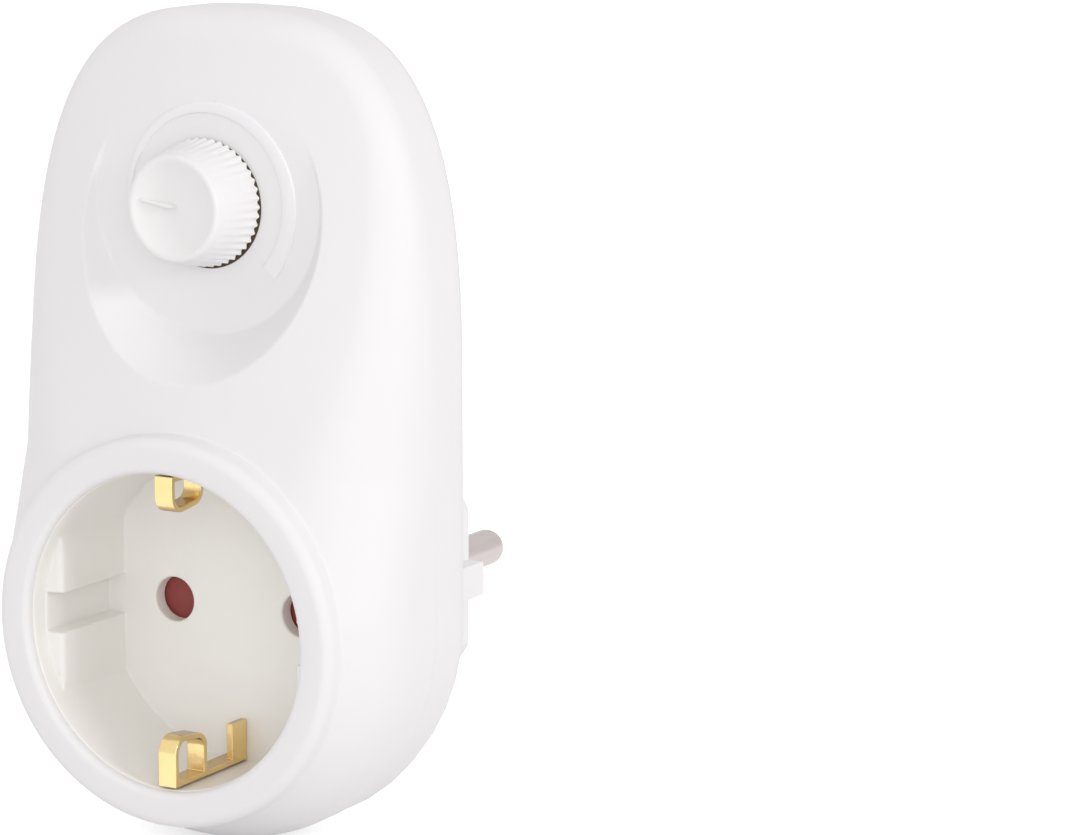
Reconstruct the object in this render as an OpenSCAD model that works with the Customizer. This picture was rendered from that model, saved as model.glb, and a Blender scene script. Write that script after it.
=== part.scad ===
// Plug-in dimmer: a wall plug and an earthed socket back to back, with a dimmer above them.
// The origin is on the plug's face, midway between its pins. +Y points to the wall,
// -Y to the room, +X to the right as seen from the room, and +Z up.

/* [Housing] */
// Width of the housing across its straight sides
body_w = 57.6; // [57:0.1:60]
// Height of the housing's top above the socket's axis
body_top = 75.5; // [75:0.1:78]
// Depth of the front shell from the socket's rim to the seam
seam_depth = 18; // [17.5:0.1:19]
// Wall of both shells
wall = 2; // [1.6:0.1:2.2]
// Largest rounding between the front face and the sides
edge_r = 12.5; // [11:0.5:13]
// Rounding at the back of the housing
back_r = 4; // [3:0.1:4]
// Lean of the front face away from the vertical, in degrees
face_lean = 11; // [9:0.5:12]
// Height above the socket's axis where the lean starts
lean_start = 3; // [2:0.5:5]
// How far the front face lies before the socket's rim at its foremost
face_proud = 0.2; // [0:0.1:0.5]
// Radius of the front face's crown across its width
crown_r = 105; // [100:5:150]
// Radius of the front face's fall below the socket's axis
drop_r = 75; // [50:5:80]

/* [Collar] */
// Outer radius of the collar round the socket
collar_r = 24.4; // [24.2:0.1:24.8]
// Rounding of the collar's outer edge
collar_edge = 1.4; // [1:0.1:1.8]
// Thickness of the collar's lip before the socket insert
lip_t = 1.2; // [1:0.1:1.6]

/* [Dial] */
// Height of the knob's axis above the socket's axis
dial_z = 52; // [51.5:0.1:52.5]
// Depth of the dial's flat below the socket's rim
dial_depth = 11.7; // [11.4:0.1:12]
// Radius of the dial's flat
dial_r = 16.3; // [15.5:0.1:16.5]
// Flare of the dish round the dial's flat, in degrees from the axis
dish_flare = 40; // [36:1:42]
// Inner radius of the level mark
mark_r = 10.9; // [10.5:0.1:11.2]
// Width of the level mark at its thin end
mark_thin = 0.5; // [0.4:0.1:0.8]
// Width of the level mark at its thick end
mark_thick = 2.4; // [2:0.1:3.5]
// Height of the level mark above the dial's flat
mark_h = 0.3; // [0.3:0.1:0.8]

/* [Knob] */
// Radius of the knob at its foot, over the teeth
knob_foot_r = 8; // [7.6:0.1:8.4]
// Radius of the knob at its cap
knob_cap_r = 6.6; // [6.4:0.1:7]
// Height of the knob
knob_h = 7.2; // [7:0.1:8]
// Number of teeth round the knob
knob_teeth = 44; // [36:1:48]
// Depth of the knob's teeth
tooth_h = 0.35; // [0.3:0.05:0.5]
// Rounding of the knob's cap
cap_edge = 0.6; // [0.6:0.1:1.2]
// Radius of the hollow in the knob's cap
hollow_r = 5.6; // [5:0.1:5.6]
// Depth of the hollow in the knob's cap
hollow_h = 1.5; // [1:0.1:1.6]
// Width of the pointer rib in the hollow
pointer_w = 0.5; // [0.4:0.1:0.8]
// Gap between the knob's foot and the dial's flat
knob_gap = 0.35; // [0.3:0.05:0.6]
// Angle of the pointer at rest, from three o'clock, in degrees
pointer_rest = 171; // [170:1:186]

/* [Socket] */
// Radius of the socket's recess
cup_r = 19.8; // [19.7:0.1:20]
// Depth of the socket's recess from the rim
cup_depth = 17.4; // [17.2:0.1:17.6]
// Wall of the socket insert
cup_wall = 1.6; // [1.4:0.1:1.7]
// Thickness of the socket insert's floor
floor_t = 2; // [1.8:0.1:2.2]
// Distance of the recess's side flats from its axis
flat_x = 17.1; // [17:0.1:17.3]
// Depth below the rim where the side flats begin
flat_set = 3.8; // [3.4:0.1:4.4]
// Width of the notch in each side flat
notch_w = 5; // [4.8:0.1:5.4]
// Distance of the notch's bottom from the socket's axis
notch_x = 19.45; // [19.3:0.05:19.6]
// Distance between the two pins
pin_pitch = 19; // [18.9:0.05:19.1]
// Radius of the pin holes in the socket's floor
hole_r = 2.85; // [2.75:0.05:2.95]

/* [Plug] */
// Depth of the plug body behind the housing
plug_depth = 20; // [19:0.5:21]
// Radius of the plug body
plug_r = 18.7; // [18.5:0.1:18.8]
// Distance of the plug body's side flats from its axis
plug_flat_x = 16.4; // [16.2:0.1:16.6]
// Width of the rib on each side flat
plug_rib_w = 4.4; // [4.2:0.1:4.6]
// Radius of the plug's pins
pin_r = 2.4; // [2.38:0.01:2.42]
// Length of the pins beyond the plug's face
pin_len = 19; // [18.8:0.1:19.2]
// Length of the plug's solid end that holds the pins
plug_end = 8.3; // [8:0.1:8.6]
// Width of the grooves for the plug's earth strips
groove_w = 5.2; // [5:0.1:6]

/* [Shutter] */
// Room for the shutter between the socket's floor and the contact carrier
shutter_room = 2.1; // [2.1:0.1:2.6]
// Thickness of the shutter
shutter_t = 1.5; // [1.4:0.05:1.55]
// Radius of each shutter blade
blade_r = 3.3; // [3.2:0.05:3.4]
// Radius of the pivot that the shutter turns on
pivot_r = 1.5; // [1.4:0.1:1.7]
// Running clearance of the shutter on its pivot
pivot_gap = 0.08; // [0.06:0.01:0.1]

/* [Dimmer] */
// Radius of the potentiometer
pot_r = 8; // [7.8:0.1:8.2]
// Radius of the potentiometer's shaft
shaft_r = 3; // [2.9:0.1:3.1]
// Thickness of the circuit board
board_t = 1.6; // [1.5:0.1:1.7]
// Gap between the circuit board and the housing's side walls
board_side_gap = 5.3; // [5:0.1:5.6]
// Height of the circuit board's lower edge above the socket's axis
board_foot = 26; // [25.5:0.1:26.5]
// Gap between the circuit board's upper edge and the screw posts
board_post_gap = 0.6; // [0.4:0.1:1]

/* [Hidden] */

// One overrun serves every cut
over = 0.6;
// Gap between fixed pieces that slip into each other
slip = 0.1;
// Gap round a piece that is moulded in or pressed in
snug = 0.02;
// Thickness of sheet brass in the clips and links
sheet = 0.7;
smooth = 96;
bend_smooth = 32;
wire_smooth = 24;
full_turn = 360;
half_turn = 180;
quarter_turn = 90;

// Thickness of the contact carrier's plate
carrier_t = 2;
// The room for wires behind the board and the carrier
wire_room = 1.9;
// What stands behind the recess sets the depth of the housing
body_depth = cup_depth + floor_t + shutter_room + carrier_t + wire_room + wall;

// Planes across the depth, from the room to the wall
rim_y = -(plug_depth + body_depth);
seam_y = rim_y + seam_depth;
back_y = -plug_depth;
inner_back_y = back_y - wall;
dial_y = rim_y + dial_depth;
dial_back_y = dial_y + wall;
floor_y = rim_y + cup_depth;
floor_back_y = floor_y + floor_t;

body_hw = body_w / 2;
// The top of the outline is a superellipse that starts here
arch_foot_share = 1 / 3;
arch_z = body_top * arch_foot_share;
arch_power = 3.05;
arch_steps = 36;
bowl_steps = 22;
// The rounding of the front face always ends just before the seam
side_land = 0.4;
side_y = seam_y - side_land;
// The crown fades in between these heights
crown_from = 5;
crown_over = 30;
drop_z = 2 * lean_start;

function lean_y(z) = z > lean_start ? (z - lean_start) * tan(face_lean) : 0;
function drop_y(z) = z < -drop_z ? pow(z + drop_z, 2) / (2 * drop_r) : 0;
function crown_share(z) = min(1, max(0, (z - crown_from) / crown_over));
function crown_y(x, z) = crown_share(z) * x * x / (2 * crown_r);
// The front face's place at a point of the front view
function face_y(x, z) = rim_y - face_proud + lean_y(z) + drop_y(z) + crown_y(x, z);

function signed_pow(v, p) = sign(v) * pow(abs(v), p);
function arch_point(t) = [
    body_hw * signed_pow(cos(t), 2 / arch_power),
    arch_z + (body_top - arch_z) * signed_pow(sin(t), 2 / arch_power)];
function bowl_point(t) = [body_hw * cos(t), body_hw * sin(t)];
// The outline of the housing in the front view, anticlockwise from the right
outline = concat(
    [for (i = [0 : arch_steps]) arch_point(i * half_turn / arch_steps)],
    [for (i = [0 : bowl_steps]) bowl_point(half_turn + i * half_turn / bowl_steps)]);
outline_n = len(outline);
function outward(i) =
    let (a = outline[(i + outline_n - 1) % outline_n], b = outline[(i + 1) % outline_n], d = b - a)
    [d[1], -d[0]] / norm(d);
function inset(i, d) = outline[i] - outward(i) * d;
function inset_outline(d) = [for (i = [0 : outline_n - 1]) inset(i, d)];

// The rounding at an outline point: as large as the depth there allows
function edge_at(i, skin) = min(edge_r, side_y - face_y(outline[i][0], outline[i][1])) - skin;
function edge_point(i, skin, turn) =
    let (r = edge_at(i, skin), at = inset(i, skin + r * (1 - cos(turn))))
    [at[0], face_y(at[0], at[1]) + skin + r * (1 - sin(turn)), at[1]];
cap_centre_share = 0.36;
function cap_point(i, skin, s) =
    let (top = inset(i, skin + edge_at(i, skin)), zc = body_top * cap_centre_share,
        x = top[0] * s, z = zc + (top[1] - zc) * s)
    [x, face_y(x, z) + skin, z];

// A closed solid through rings of equal length, from a point at the front to a flat back
module loft(tip, rings) {
    n = len(rings[0]);
    last = len(rings) - 1;
    points = concat([tip], [for (ring = rings, p = ring) p]);
    function at(k, i) = 1 + k * n + i % n;
    faces = concat(
        [for (i = [0 : n - 1]) [0, at(0, i + 1), at(0, i)]],
        [for (k = [0 : last - 1], i = [0 : n - 1]) [at(k, i), at(k + 1, i + 1), at(k + 1, i)]],
        [for (k = [0 : last - 1], i = [0 : n - 1]) [at(k, i), at(k, i + 1), at(k + 1, i + 1)]],
        [[for (i = [0 : n - 1]) at(last, i)]]);
    polyhedron(points = points, faces = faces, convexity = 6);
}

cap_shares = [1 / 3, 2 / 3];
edge_steps = 6;
// The front of the housing, less a skin all round, from its face to the plane end_y
module front_form(skin, end_y) {
    zc = body_top * cap_centre_share;
    loft([0, face_y(0, zc) + skin, zc], concat(
        [for (s = cap_shares) [for (i = [0 : outline_n - 1]) cap_point(i, skin, s)]],
        [for (k = [0 : edge_steps]) [for (i = [0 : outline_n - 1])
            edge_point(i, skin, quarter_turn * (1 - k / edge_steps))]],
        [[for (i = [0 : outline_n - 1]) let (p = inset(i, skin)) [p[0], end_y, p[1]]]]));
}

back_steps = 3;
// The back of the housing, less a skin all round, from the plane start_y
module rear_form(skin, start_y) {
    r = back_r - skin / 2;
    hull() {
        for (k = [0 : back_steps]) {
            turn = quarter_turn * k / back_steps;
            depth = back_y - skin - r * (1 - sin(turn));
            slab(start_y, depth) polygon(inset_outline(skin + r * (1 - cos(turn))));
        }
    }
}

// A flat figure of the front view, drawn out along the depth from y0 to y1
module slab(y0, y1) {
    translate([0, y1, 0]) rotate([90, 0, 0]) linear_extrude(y1 - y0) children();
}

// A flat figure of the side view, drawn out across the width from x0 to x1
module rail(x0, x1) {
    translate([x0, 0, 0]) rotate([90, 0, 90]) linear_extrude(x1 - x0) children();
}

// A round bar along the depth
module rod(x, z, r, y0, y1) {
    translate([x, y0, z]) rotate([-90, 0, 0]) cylinder(r = r, h = y1 - y0, $fn = smooth);
}

// A round bar along the depth whose radius changes from ra to rb
module taper(x, z, ra, rb, y0, y1) {
    translate([x, y0, z]) rotate([-90, 0, 0]) cylinder(r1 = ra, r2 = rb, h = y1 - y0, $fn = smooth);
}

// A box between two corners
module box(a, b) {
    translate(a) cube(b - a);
}

// A solid of revolution about an axis along the depth; the outline is [radius, depth]
module turned(x, z) {
    translate([x, 0, z]) rotate([-90, 0, 0]) rotate_extrude($fn = smooth) children();
}

// Shell screws: two beside the socket and two above the dial
screw_side_gap = 5.2;
screw_low_z = 17;
screw_top_gap = 7.1;
screw_low = [body_hw - screw_side_gap, screw_low_z];
screw_high = [body_hw / 2, body_top - screw_top_gap];
screw_r = 1.4;
screw_head_r = 2.4;
screw_head_h = 1.8;
post_r = 2.8;
screw_sites = [[-1, screw_low], [1, screw_low], [-1, screw_high], [1, screw_high]];
// How far the screws reach into the front shell from the seam
screw_reach = 2.6;
screw_land = 1.4;
screw_seat = 4.6;
screw_seat_y = seam_y + screw_seat;

// The socket insert's sleeve in the front shell, and the insert's flange: each takes a share
// of the room between the insert and the housing's side wall
insert_r = cup_r + cup_wall;
socket_room = body_hw - wall - insert_r;
sleeve_share = 11 / 27;
flange_share = 10 / 27;
sleeve_r = insert_r + socket_room * sleeve_share;
flange_r = insert_r + socket_room * flange_share;
flange_depth = 12;
flange_y = rim_y + flange_depth;
flange_t = 1.5;

// The dish: its flat, its flaring wall and the skin behind them
dish_run = dial_depth;
dish_r = dial_r + dish_run * tan(dish_flare);
dish_back_r = dial_r + wall / cos(dish_flare);
shaft_gap = 0.06;
shaft_hole_gap = 0.4;
shaft_hole_r = shaft_r + shaft_hole_gap;

mark_from = 225;
mark_sweep = 267;
mark_steps = 45;
mark_sink = 0.3;

module level_mark() {
    function turn(i) = mark_from - mark_sweep * i / mark_steps;
    function outer(i) = mark_r + mark_thin + (mark_thick - mark_thin) * i / mark_steps;
    slab(dial_y - mark_h, dial_y + mark_sink) translate([0, dial_z]) polygon(concat(
        [for (i = [0 : mark_steps]) outer(i) * [cos(turn(i)), sin(turn(i))]],
        [for (i = [mark_steps : -1 : 0]) mark_r * [cos(turn(i)), sin(turn(i))]]));
}

module front_shell() color([0.93, 0.93, 0.94]) {
    difference() {
        union() {
            front_form(0, seam_y);
            // the collar, with its rounded outer edge
            turned(0, 0) {
                translate([0, rim_y]) square([collar_r - collar_edge, collar_edge]);
                translate([0, rim_y + collar_edge]) square([collar_r, flange_y - rim_y - collar_edge]);
                intersection() {
                    translate([collar_r - collar_edge, rim_y + collar_edge])
                        circle(r = collar_edge, $fn = smooth);
                    translate([0, rim_y]) square([collar_r, collar_edge]);
                }
            }
        }
        // the hollow, which leaves the dish's skin, the sleeve and the posts standing
        difference() {
            front_form(wall, seam_y + over);
            turned(0, dial_z) polygon([[0, dial_back_y], [dish_back_r, dial_back_y], [dish_back_r, dial_y],
                [dish_back_r + dish_run * tan(dish_flare), rim_y], [0, rim_y]]);
            rod(0, 0, sleeve_r, rim_y - over, flange_y);
            for (site = screw_sites) {
                rod(site[0] * site[1][0], site[1][1], post_r, rim_y, seam_y - screw_land);
            }
        }
        // the dish
        taper(0, dial_z, dish_r, dial_r, rim_y, dial_y);
        rod(0, dial_z, shaft_hole_r, dial_y - over, dial_back_y + over);
        // the mouth and the seat of the socket insert
        rod(0, 0, cup_r + slip, rim_y - over, rim_y + lip_t + over);
        rod(0, 0, insert_r + slip, rim_y + lip_t, flange_y + over);
        // screw holes
        for (site = screw_sites) {
            rod(site[0] * site[1][0], site[1][1], screw_r - slip,
                seam_y - screw_reach - slip, seam_y + over);
        }
    }
    level_mark();
}

// The plug's outline, less a skin: a circle with side flats, and a rib on each where ribbed
module plug_outline(skin, ribbed) {
    intersection() {
        circle(r = plug_r - skin, $fn = smooth);
        square([2 * (plug_flat_x - skin), 3 * plug_r], center = true);
    }
    if (ribbed) {
        intersection() {
            circle(r = plug_r - skin, $fn = smooth);
            square([3 * plug_r, plug_rib_w - 2 * skin], center = true);
        }
    }
}

// The earth strips' place in the plug's grooves
strip_z = 16.4;
strip_w = 4;
strip_play = 0.3;
groove_z = strip_z - sheet - strip_play;
plug_wall = 2;
plug_floor = 1.2;
// The pins are thicker in the plug, up to a small shoulder before its face
pin_root_t = 0.9;
pin_root_r = pin_r + pin_root_t;
pin_shoulder = 0.2;
carrier_r = 20.8;
boss_ring_r = 19.4;
boss_ring_t = 1.4;

board_back_y = inner_back_y - wire_room;
board_y = board_back_y - board_t;
board_hw = body_hw - wall - board_side_gap;
board_head = screw_high[1] - post_r - board_post_gap;
board_post_r = 2.4;
board_screw_r = 0.88;
board_screw_head_r = 2.2;
board_screw_head_t = 1.5;
board_hole_r = 1.3;
// The board's screws, set in from its edges
low_in = 2.9;
low_up = 3.4;
high_in = 5.1;
high_down = 4.4;
low_x = board_hw - low_in;
high_x = board_hw - high_in;
board_sites = [[-low_x, board_foot + low_up], [low_x, board_foot + low_up],
    [-high_x, board_head - high_down], [high_x, board_head - high_down]];

carrier_back_y = board_back_y;
carrier_y = carrier_back_y - carrier_t;
wire_r = 0.7;
wire_y = inner_back_y - wire_room / 2;
live_x = -10.6;
load_x = -6.6;
wire_slot = 2.4;

module rear_shell() color([0.92, 0.92, 0.93]) difference() {
    union() {
        difference() {
            rear_form(0, seam_y);
            rear_form(wall, seam_y - over);
        }
        for (site = screw_sites) {
            rod(site[0] * site[1][0], site[1][1], post_r, seam_y - screw_land + slip,
                back_y - wall / 2);
        }
        for (site = board_sites) {
            rod(site[0], site[1], board_post_r, board_back_y, inner_back_y + wall / 2);
        }
    }
    // the plug body stands in this opening
    slab(inner_back_y - over, back_y + over) plug_outline(-slip, true);
    // screw holes, sunk from the back
    for (site = screw_sites) {
        rod(site[0] * site[1][0], site[1][1], screw_r + slip, seam_y - screw_land - over, back_y + over);
        rod(site[0] * site[1][0], site[1][1], screw_head_r + slip, screw_seat_y, back_y + over);
    }
    for (site = board_sites) {
        rod(site[0], site[1], board_screw_r + snug, board_back_y - over, inner_back_y + wall / 2);
    }
}

// The plug body: a tube with a thick end for the pins and a flange inside the rear shell
groove_end_y = -plug_depth + 2 * wall;
module plug_body() color([0.92, 0.92, 0.93]) difference() {
    union() {
        slab(inner_back_y - slip, 0) plug_outline(0, true);
        rod(0, 0, boss_ring_r, carrier_back_y, inner_back_y);
    }
    // the inside, with a floor left under each earth groove
    difference() {
        union() {
            slab(inner_back_y - slip / 2, -plug_end) plug_outline(plug_wall, false);
            rod(0, 0, boss_ring_r - boss_ring_t, carrier_back_y - over, inner_back_y);
        }
        for (side = [-1, 1]) {
            box([-groove_w / 2 - plug_floor, groove_end_y - plug_floor,
                side > 0 ? groove_z - plug_floor : -plug_r], [groove_w / 2 + plug_floor, 0,
                side > 0 ? plug_r : plug_floor - groove_z]);
        }
    }
    for (side = [-1, 1]) {
        // the flange is open for the earth clips, and each groove for its strip
        box([-groove_w / 2, carrier_back_y - over, side > 0 ? 0 : -boss_ring_r - over],
            [groove_w / 2, inner_back_y, side > 0 ? boss_ring_r + over : 0]);
        box([-strip_w / 2 - slip, inner_back_y - over, side > 0 ? strip_z - sheet - slip : -strip_z - slip],
            [strip_w / 2 + slip, groove_end_y + over, side > 0 ? strip_z + slip : sheet - strip_z + slip]);
        box([-groove_w / 2, groove_end_y, side > 0 ? groove_z : -plug_r - over],
            [groove_w / 2, over, side > 0 ? plug_r + over : -groove_z]);
        rod(side * pin_pitch / 2, 0, pin_root_r + snug, -plug_end - over, over);
    }
    for (x = [live_x, load_x]) {
        box([x - wire_slot / 2, carrier_back_y - over, 0],
            [x + wire_slot / 2, inner_back_y, boss_ring_r + over]);
    }
}

insert_y = rim_y + lip_t + slip;
clip_w = 2.6;
clip_hw = clip_w / 2;
clip_z = 19.55;
clip_slot_gap = 0.15;

module recess_outline() {
    intersection() {
        circle(r = cup_r, $fn = smooth);
        square([2 * flat_x, 3 * cup_r], center = true);
    }
    intersection() {
        circle(r = cup_r, $fn = smooth);
        square([2 * notch_x, notch_w], center = true);
    }
}

carrier_screw_x = 15.4;
carrier_screw_z = 8.4;
carrier_screw_sites = [[-carrier_screw_x, carrier_screw_z], [carrier_screw_x, -carrier_screw_z]];
carrier_screw_r = 1;
carrier_head_r = 1.8;
carrier_head_t = 1;
boss_r = 2.6;
// What is left of the insert's floor under each screw hole
hole_land = 0.6;

module socket_insert() color([0.87, 0.85, 0.82]) difference() {
    union() {
        rod(0, 0, insert_r, insert_y, floor_back_y);
        rod(0, 0, flange_r, flange_y + slip, flange_y + slip + flange_t);
    }
    rod(0, 0, cup_r, insert_y - over, rim_y + flat_set);
    slab(rim_y + flat_set - over / 2, floor_y) recess_outline();
    for (side = [-1, 1]) {
        rod(side * pin_pitch / 2, 0, hole_r, floor_y - over, floor_back_y + over);
        // the slot that each earth clip passes through
        box([-clip_hw - clip_slot_gap, floor_y - over,
            side * clip_z - (side > 0 ? sheet : 0) - clip_slot_gap],
            [clip_hw + clip_slot_gap, floor_back_y + over,
            side * clip_z + (side > 0 ? 0 : sheet) + clip_slot_gap]);
    }
    for (site = carrier_screw_sites) {
        rod(site[0], site[1], carrier_screw_r - slip / 2, floor_y + hole_land, floor_back_y + over);
    }
}

// The knob stands before the dial's flat
knob_foot_y = dial_y - knob_gap;
knob_cap_y = knob_foot_y - knob_h;
collar_cap_h = 1.2;
tooth_fill_share = 0.55;
knob_wall = 1.1;
shaft_cover = 1.4;
shaft_end_y = knob_cap_y + hollow_h + shaft_cover;
stem_r = shaft_r + knob_wall;
dimple_floor_t = 1.2;
// How far the pointer's rib lies below the cap
pointer_sink = 0.25;

// A ring of n teeth with their tips at radius r
module toothed(r, depth, n) {
    step = full_turn / n;
    polygon([for (i = [0 : n - 1], k = [0 : 3])
        (k < 2 ? r : r - depth) *
        [cos((i + k * tooth_fill_share / 2) * step), sin((i + k * tooth_fill_share / 2) * step)]]);
}

module knob() color([0.97, 0.96, 0.94]) rotate_about_dial() difference() {
    union() {
        // the toothed skirt tapers to the cap
        translate([0, knob_foot_y, 0]) rotate([90, 0, 0])
            linear_extrude(knob_h - collar_cap_h, scale = (knob_cap_r - tooth_h) / (knob_foot_r - tooth_h))
            toothed(knob_foot_r, tooth_h, knob_teeth);
        // the cap with its rounded edge
        turned(0, 0) hull() {
            translate([0, knob_cap_y]) square([knob_cap_r - cap_edge, knob_h / 2]);
            translate([knob_cap_r - cap_edge, knob_cap_y + cap_edge])
                circle(r = cap_edge, $fn = bend_smooth);
            translate([0, knob_cap_y + cap_edge]) square([knob_cap_r, cap_edge]);
        }
    }
    // the conical hollow, which leaves the pointer's rib
    difference() {
        taper(0, 0, hollow_r, 0, knob_cap_y, knob_cap_y + hollow_h);
        box([0, knob_cap_y + pointer_sink, -pointer_w / 2],
            [hollow_r, knob_cap_y + hollow_h, pointer_w / 2]);
    }
    // the bore for the shaft and the room round the stem
    rod(0, 0, shaft_r + snug, shaft_end_y - slip, knob_foot_y + over);
    difference() {
        taper(0, 0, knob_cap_r - knob_wall - tooth_h, knob_foot_r - knob_wall - tooth_h,
            knob_cap_y + hollow_h + dimple_floor_t, knob_foot_y + slip / 10);
        rod(0, 0, stem_r, knob_cap_y, knob_foot_y + over);
    }
}

// Places a piece on the dial's axis with its pointer at the rest angle
module rotate_about_dial() {
    translate([0, 0, dial_z]) rotate([0, -pointer_rest, 0]) children();
}

// The potentiometer stands on the circuit board behind the dial
pot_front_y = dial_back_y + slip;
pot_cover_t = 0.8;
pot_wall = 1;
pot_floor_t = 1.2;
pot_inner_r = pot_r - pot_wall;
rotor_t = 1.4;
rotor_play = 0.4;
rotor_r = pot_inner_r - rotor_play;
rotor_gap = 0.3;
rotor_y = pot_front_y + pot_cover_t + rotor_gap;
track_t = 0.3;
track_r = 6.2;
track_in_r = 4.4;
pot_pivot_r = 1.5;
pot_pivot_gap = 0.4;
// The cover's tabs
tab_lift = 0.5;
tab_hw = 2;

module pot_case() color([0.2, 0.2, 0.22]) {
    difference() {
        rod(0, dial_z, pot_r, pot_front_y + pot_cover_t, board_y);
        rod(0, dial_z, pot_inner_r, pot_front_y + pot_cover_t - over, board_y - pot_floor_t);
    }
    rod(0, dial_z, pot_pivot_r, rotor_y + rotor_t + pot_pivot_gap, board_y - pot_floor_t / 2);
}

module pot_cover() color([0.7, 0.7, 0.72]) difference() {
    union() {
        rod(0, dial_z, pot_r, pot_front_y, pot_front_y + pot_cover_t);
        // two tabs fold down the case's sides
        for (side = [-1, 1]) {
            box([side > 0 ? pot_r - pot_wall / 2 : -pot_r - tab_lift, pot_front_y, dial_z - tab_hw],
                [side > 0 ? pot_r + tab_lift : -pot_r + pot_wall / 2, board_y, dial_z + tab_hw]);
        }
    }
    rod(0, dial_z, shaft_r + shaft_gap, pot_front_y - over, pot_front_y + pot_cover_t + over);
    rod(0, dial_z, pot_r + slip / 5, pot_front_y + pot_cover_t, board_y + over);
}

module pot_track() color([0.25, 0.22, 0.2]) difference() {
    rod(0, dial_z, track_r, board_y - pot_floor_t - track_t, board_y - pot_floor_t);
    rod(0, dial_z, track_in_r, board_y - pot_floor_t - track_t - over, board_y - pot_floor_t + over);
}

module pot_shaft() color([0.85, 0.84, 0.8]) rotate_about_dial() {
    rod(0, 0, rotor_r, rotor_y, rotor_y + rotor_t);
    rod(0, 0, shaft_r, shaft_end_y, rotor_y + rotor_t / 2);
}

// The wiper: a leaf under the rotor with its foot over the track
wiper_gap = 0.15;
leaf_hw = 1.2;
leaf_t = 0.3;
leaf_in = 1;
leaf_out = 0.2;
foot_in = 0.8;
foot_r = 0.5;
module pot_wiper() color([0.85, 0.68, 0.3]) rotate_about_dial() {
    y_end = board_y - pot_floor_t - track_t - wiper_gap;
    leaf_y = rotor_y + rotor_t;
    box([track_in_r - leaf_in, leaf_y, -leaf_hw], [track_r - leaf_out, leaf_y + leaf_t, leaf_hw]);
    rod(track_r - foot_in, 0, foot_r, leaf_y + leaf_t - slip, y_end);
}

// Shutter: two blades on a hub behind the socket's floor
shutter_gap = 0.25;
shutter_y = floor_back_y + shutter_gap;
shutter_back_y = shutter_y + shutter_t;
hub_r = 3.4;
arm_w = 3.6;
spring_t = 0.4;
spring_h = 0.5;
spring_r = 2.6;
well_wall = 0.4;

module shutter() color([0.36, 0.1, 0.12]) difference() {
    slab(shutter_y, shutter_back_y) {
        circle(r = hub_r, $fn = smooth);
        for (side = [-1, 1]) {
            translate([side * pin_pitch / 2, 0]) circle(r = blade_r, $fn = smooth);
            translate([side * pin_pitch / 4, 0]) square([pin_pitch / 2, arm_w], center = true);
        }
    }
    rod(0, 0, pivot_r + pivot_gap, shutter_y - over, shutter_back_y + over);
    // the well for the spring
    rod(0, 0, hub_r - well_wall, shutter_back_y - spring_h - slip, shutter_back_y + over);
}

// An open ring of spring wire in the hub's well
spring_gap = 0.6;
module shutter_spring() color([0.6, 0.6, 0.62]) difference() {
    rod(0, 0, spring_r, shutter_back_y - spring_h - slip, shutter_back_y - slip);
    rod(0, 0, spring_r - spring_t, shutter_back_y - spring_h - over, shutter_back_y + over);
    box([0, shutter_back_y - spring_h - over, -spring_gap / 2],
        [hub_r, shutter_back_y + over, spring_gap / 2]);
}

// Contacts: sprung sleeves round the place of a mating plug's pins
contact_r = 3.05;
contact_bore = 2.3;
contact_set = 0.4;
contact_y = carrier_y + contact_set;
contact_end_y = -11;
contact_slot = 0.8;
tail_w = 3;
tail_foot_z = 0.4;
tail_z = 6.2;
tube_gap = 0.4;
tube_wall = 0.9;
tube_r = contact_r + tube_gap + tube_wall;
tube_end_y = contact_end_y;
// The left tube is closed at its end, where the live pin stands before it
tube_floor_t = 0.8;
carrier_wall = 1.4;

module contact(side) {
    difference() {
        rod(side * pin_pitch / 2, 0, contact_r, contact_y, contact_end_y);
        rod(side * pin_pitch / 2, 0, contact_bore, contact_y - over, contact_end_y - sheet);
        box([side * pin_pitch / 2 - contact_slot / 2, contact_y - over, -contact_r - over],
            [side * pin_pitch / 2 + contact_slot / 2, contact_end_y - 4 * sheet, contact_r + over]);
    }
}

module contact_left() color([0.85, 0.68, 0.35]) {
    contact(-1);
    // the tail that takes the load wire
    box([load_x - tail_w / 2, contact_end_y - 2 * sheet, tail_foot_z],
        [load_x + tail_w / 2, contact_end_y - sheet, tail_z]);
}

module contact_right() color([0.85, 0.68, 0.35]) contact(1);

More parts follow.
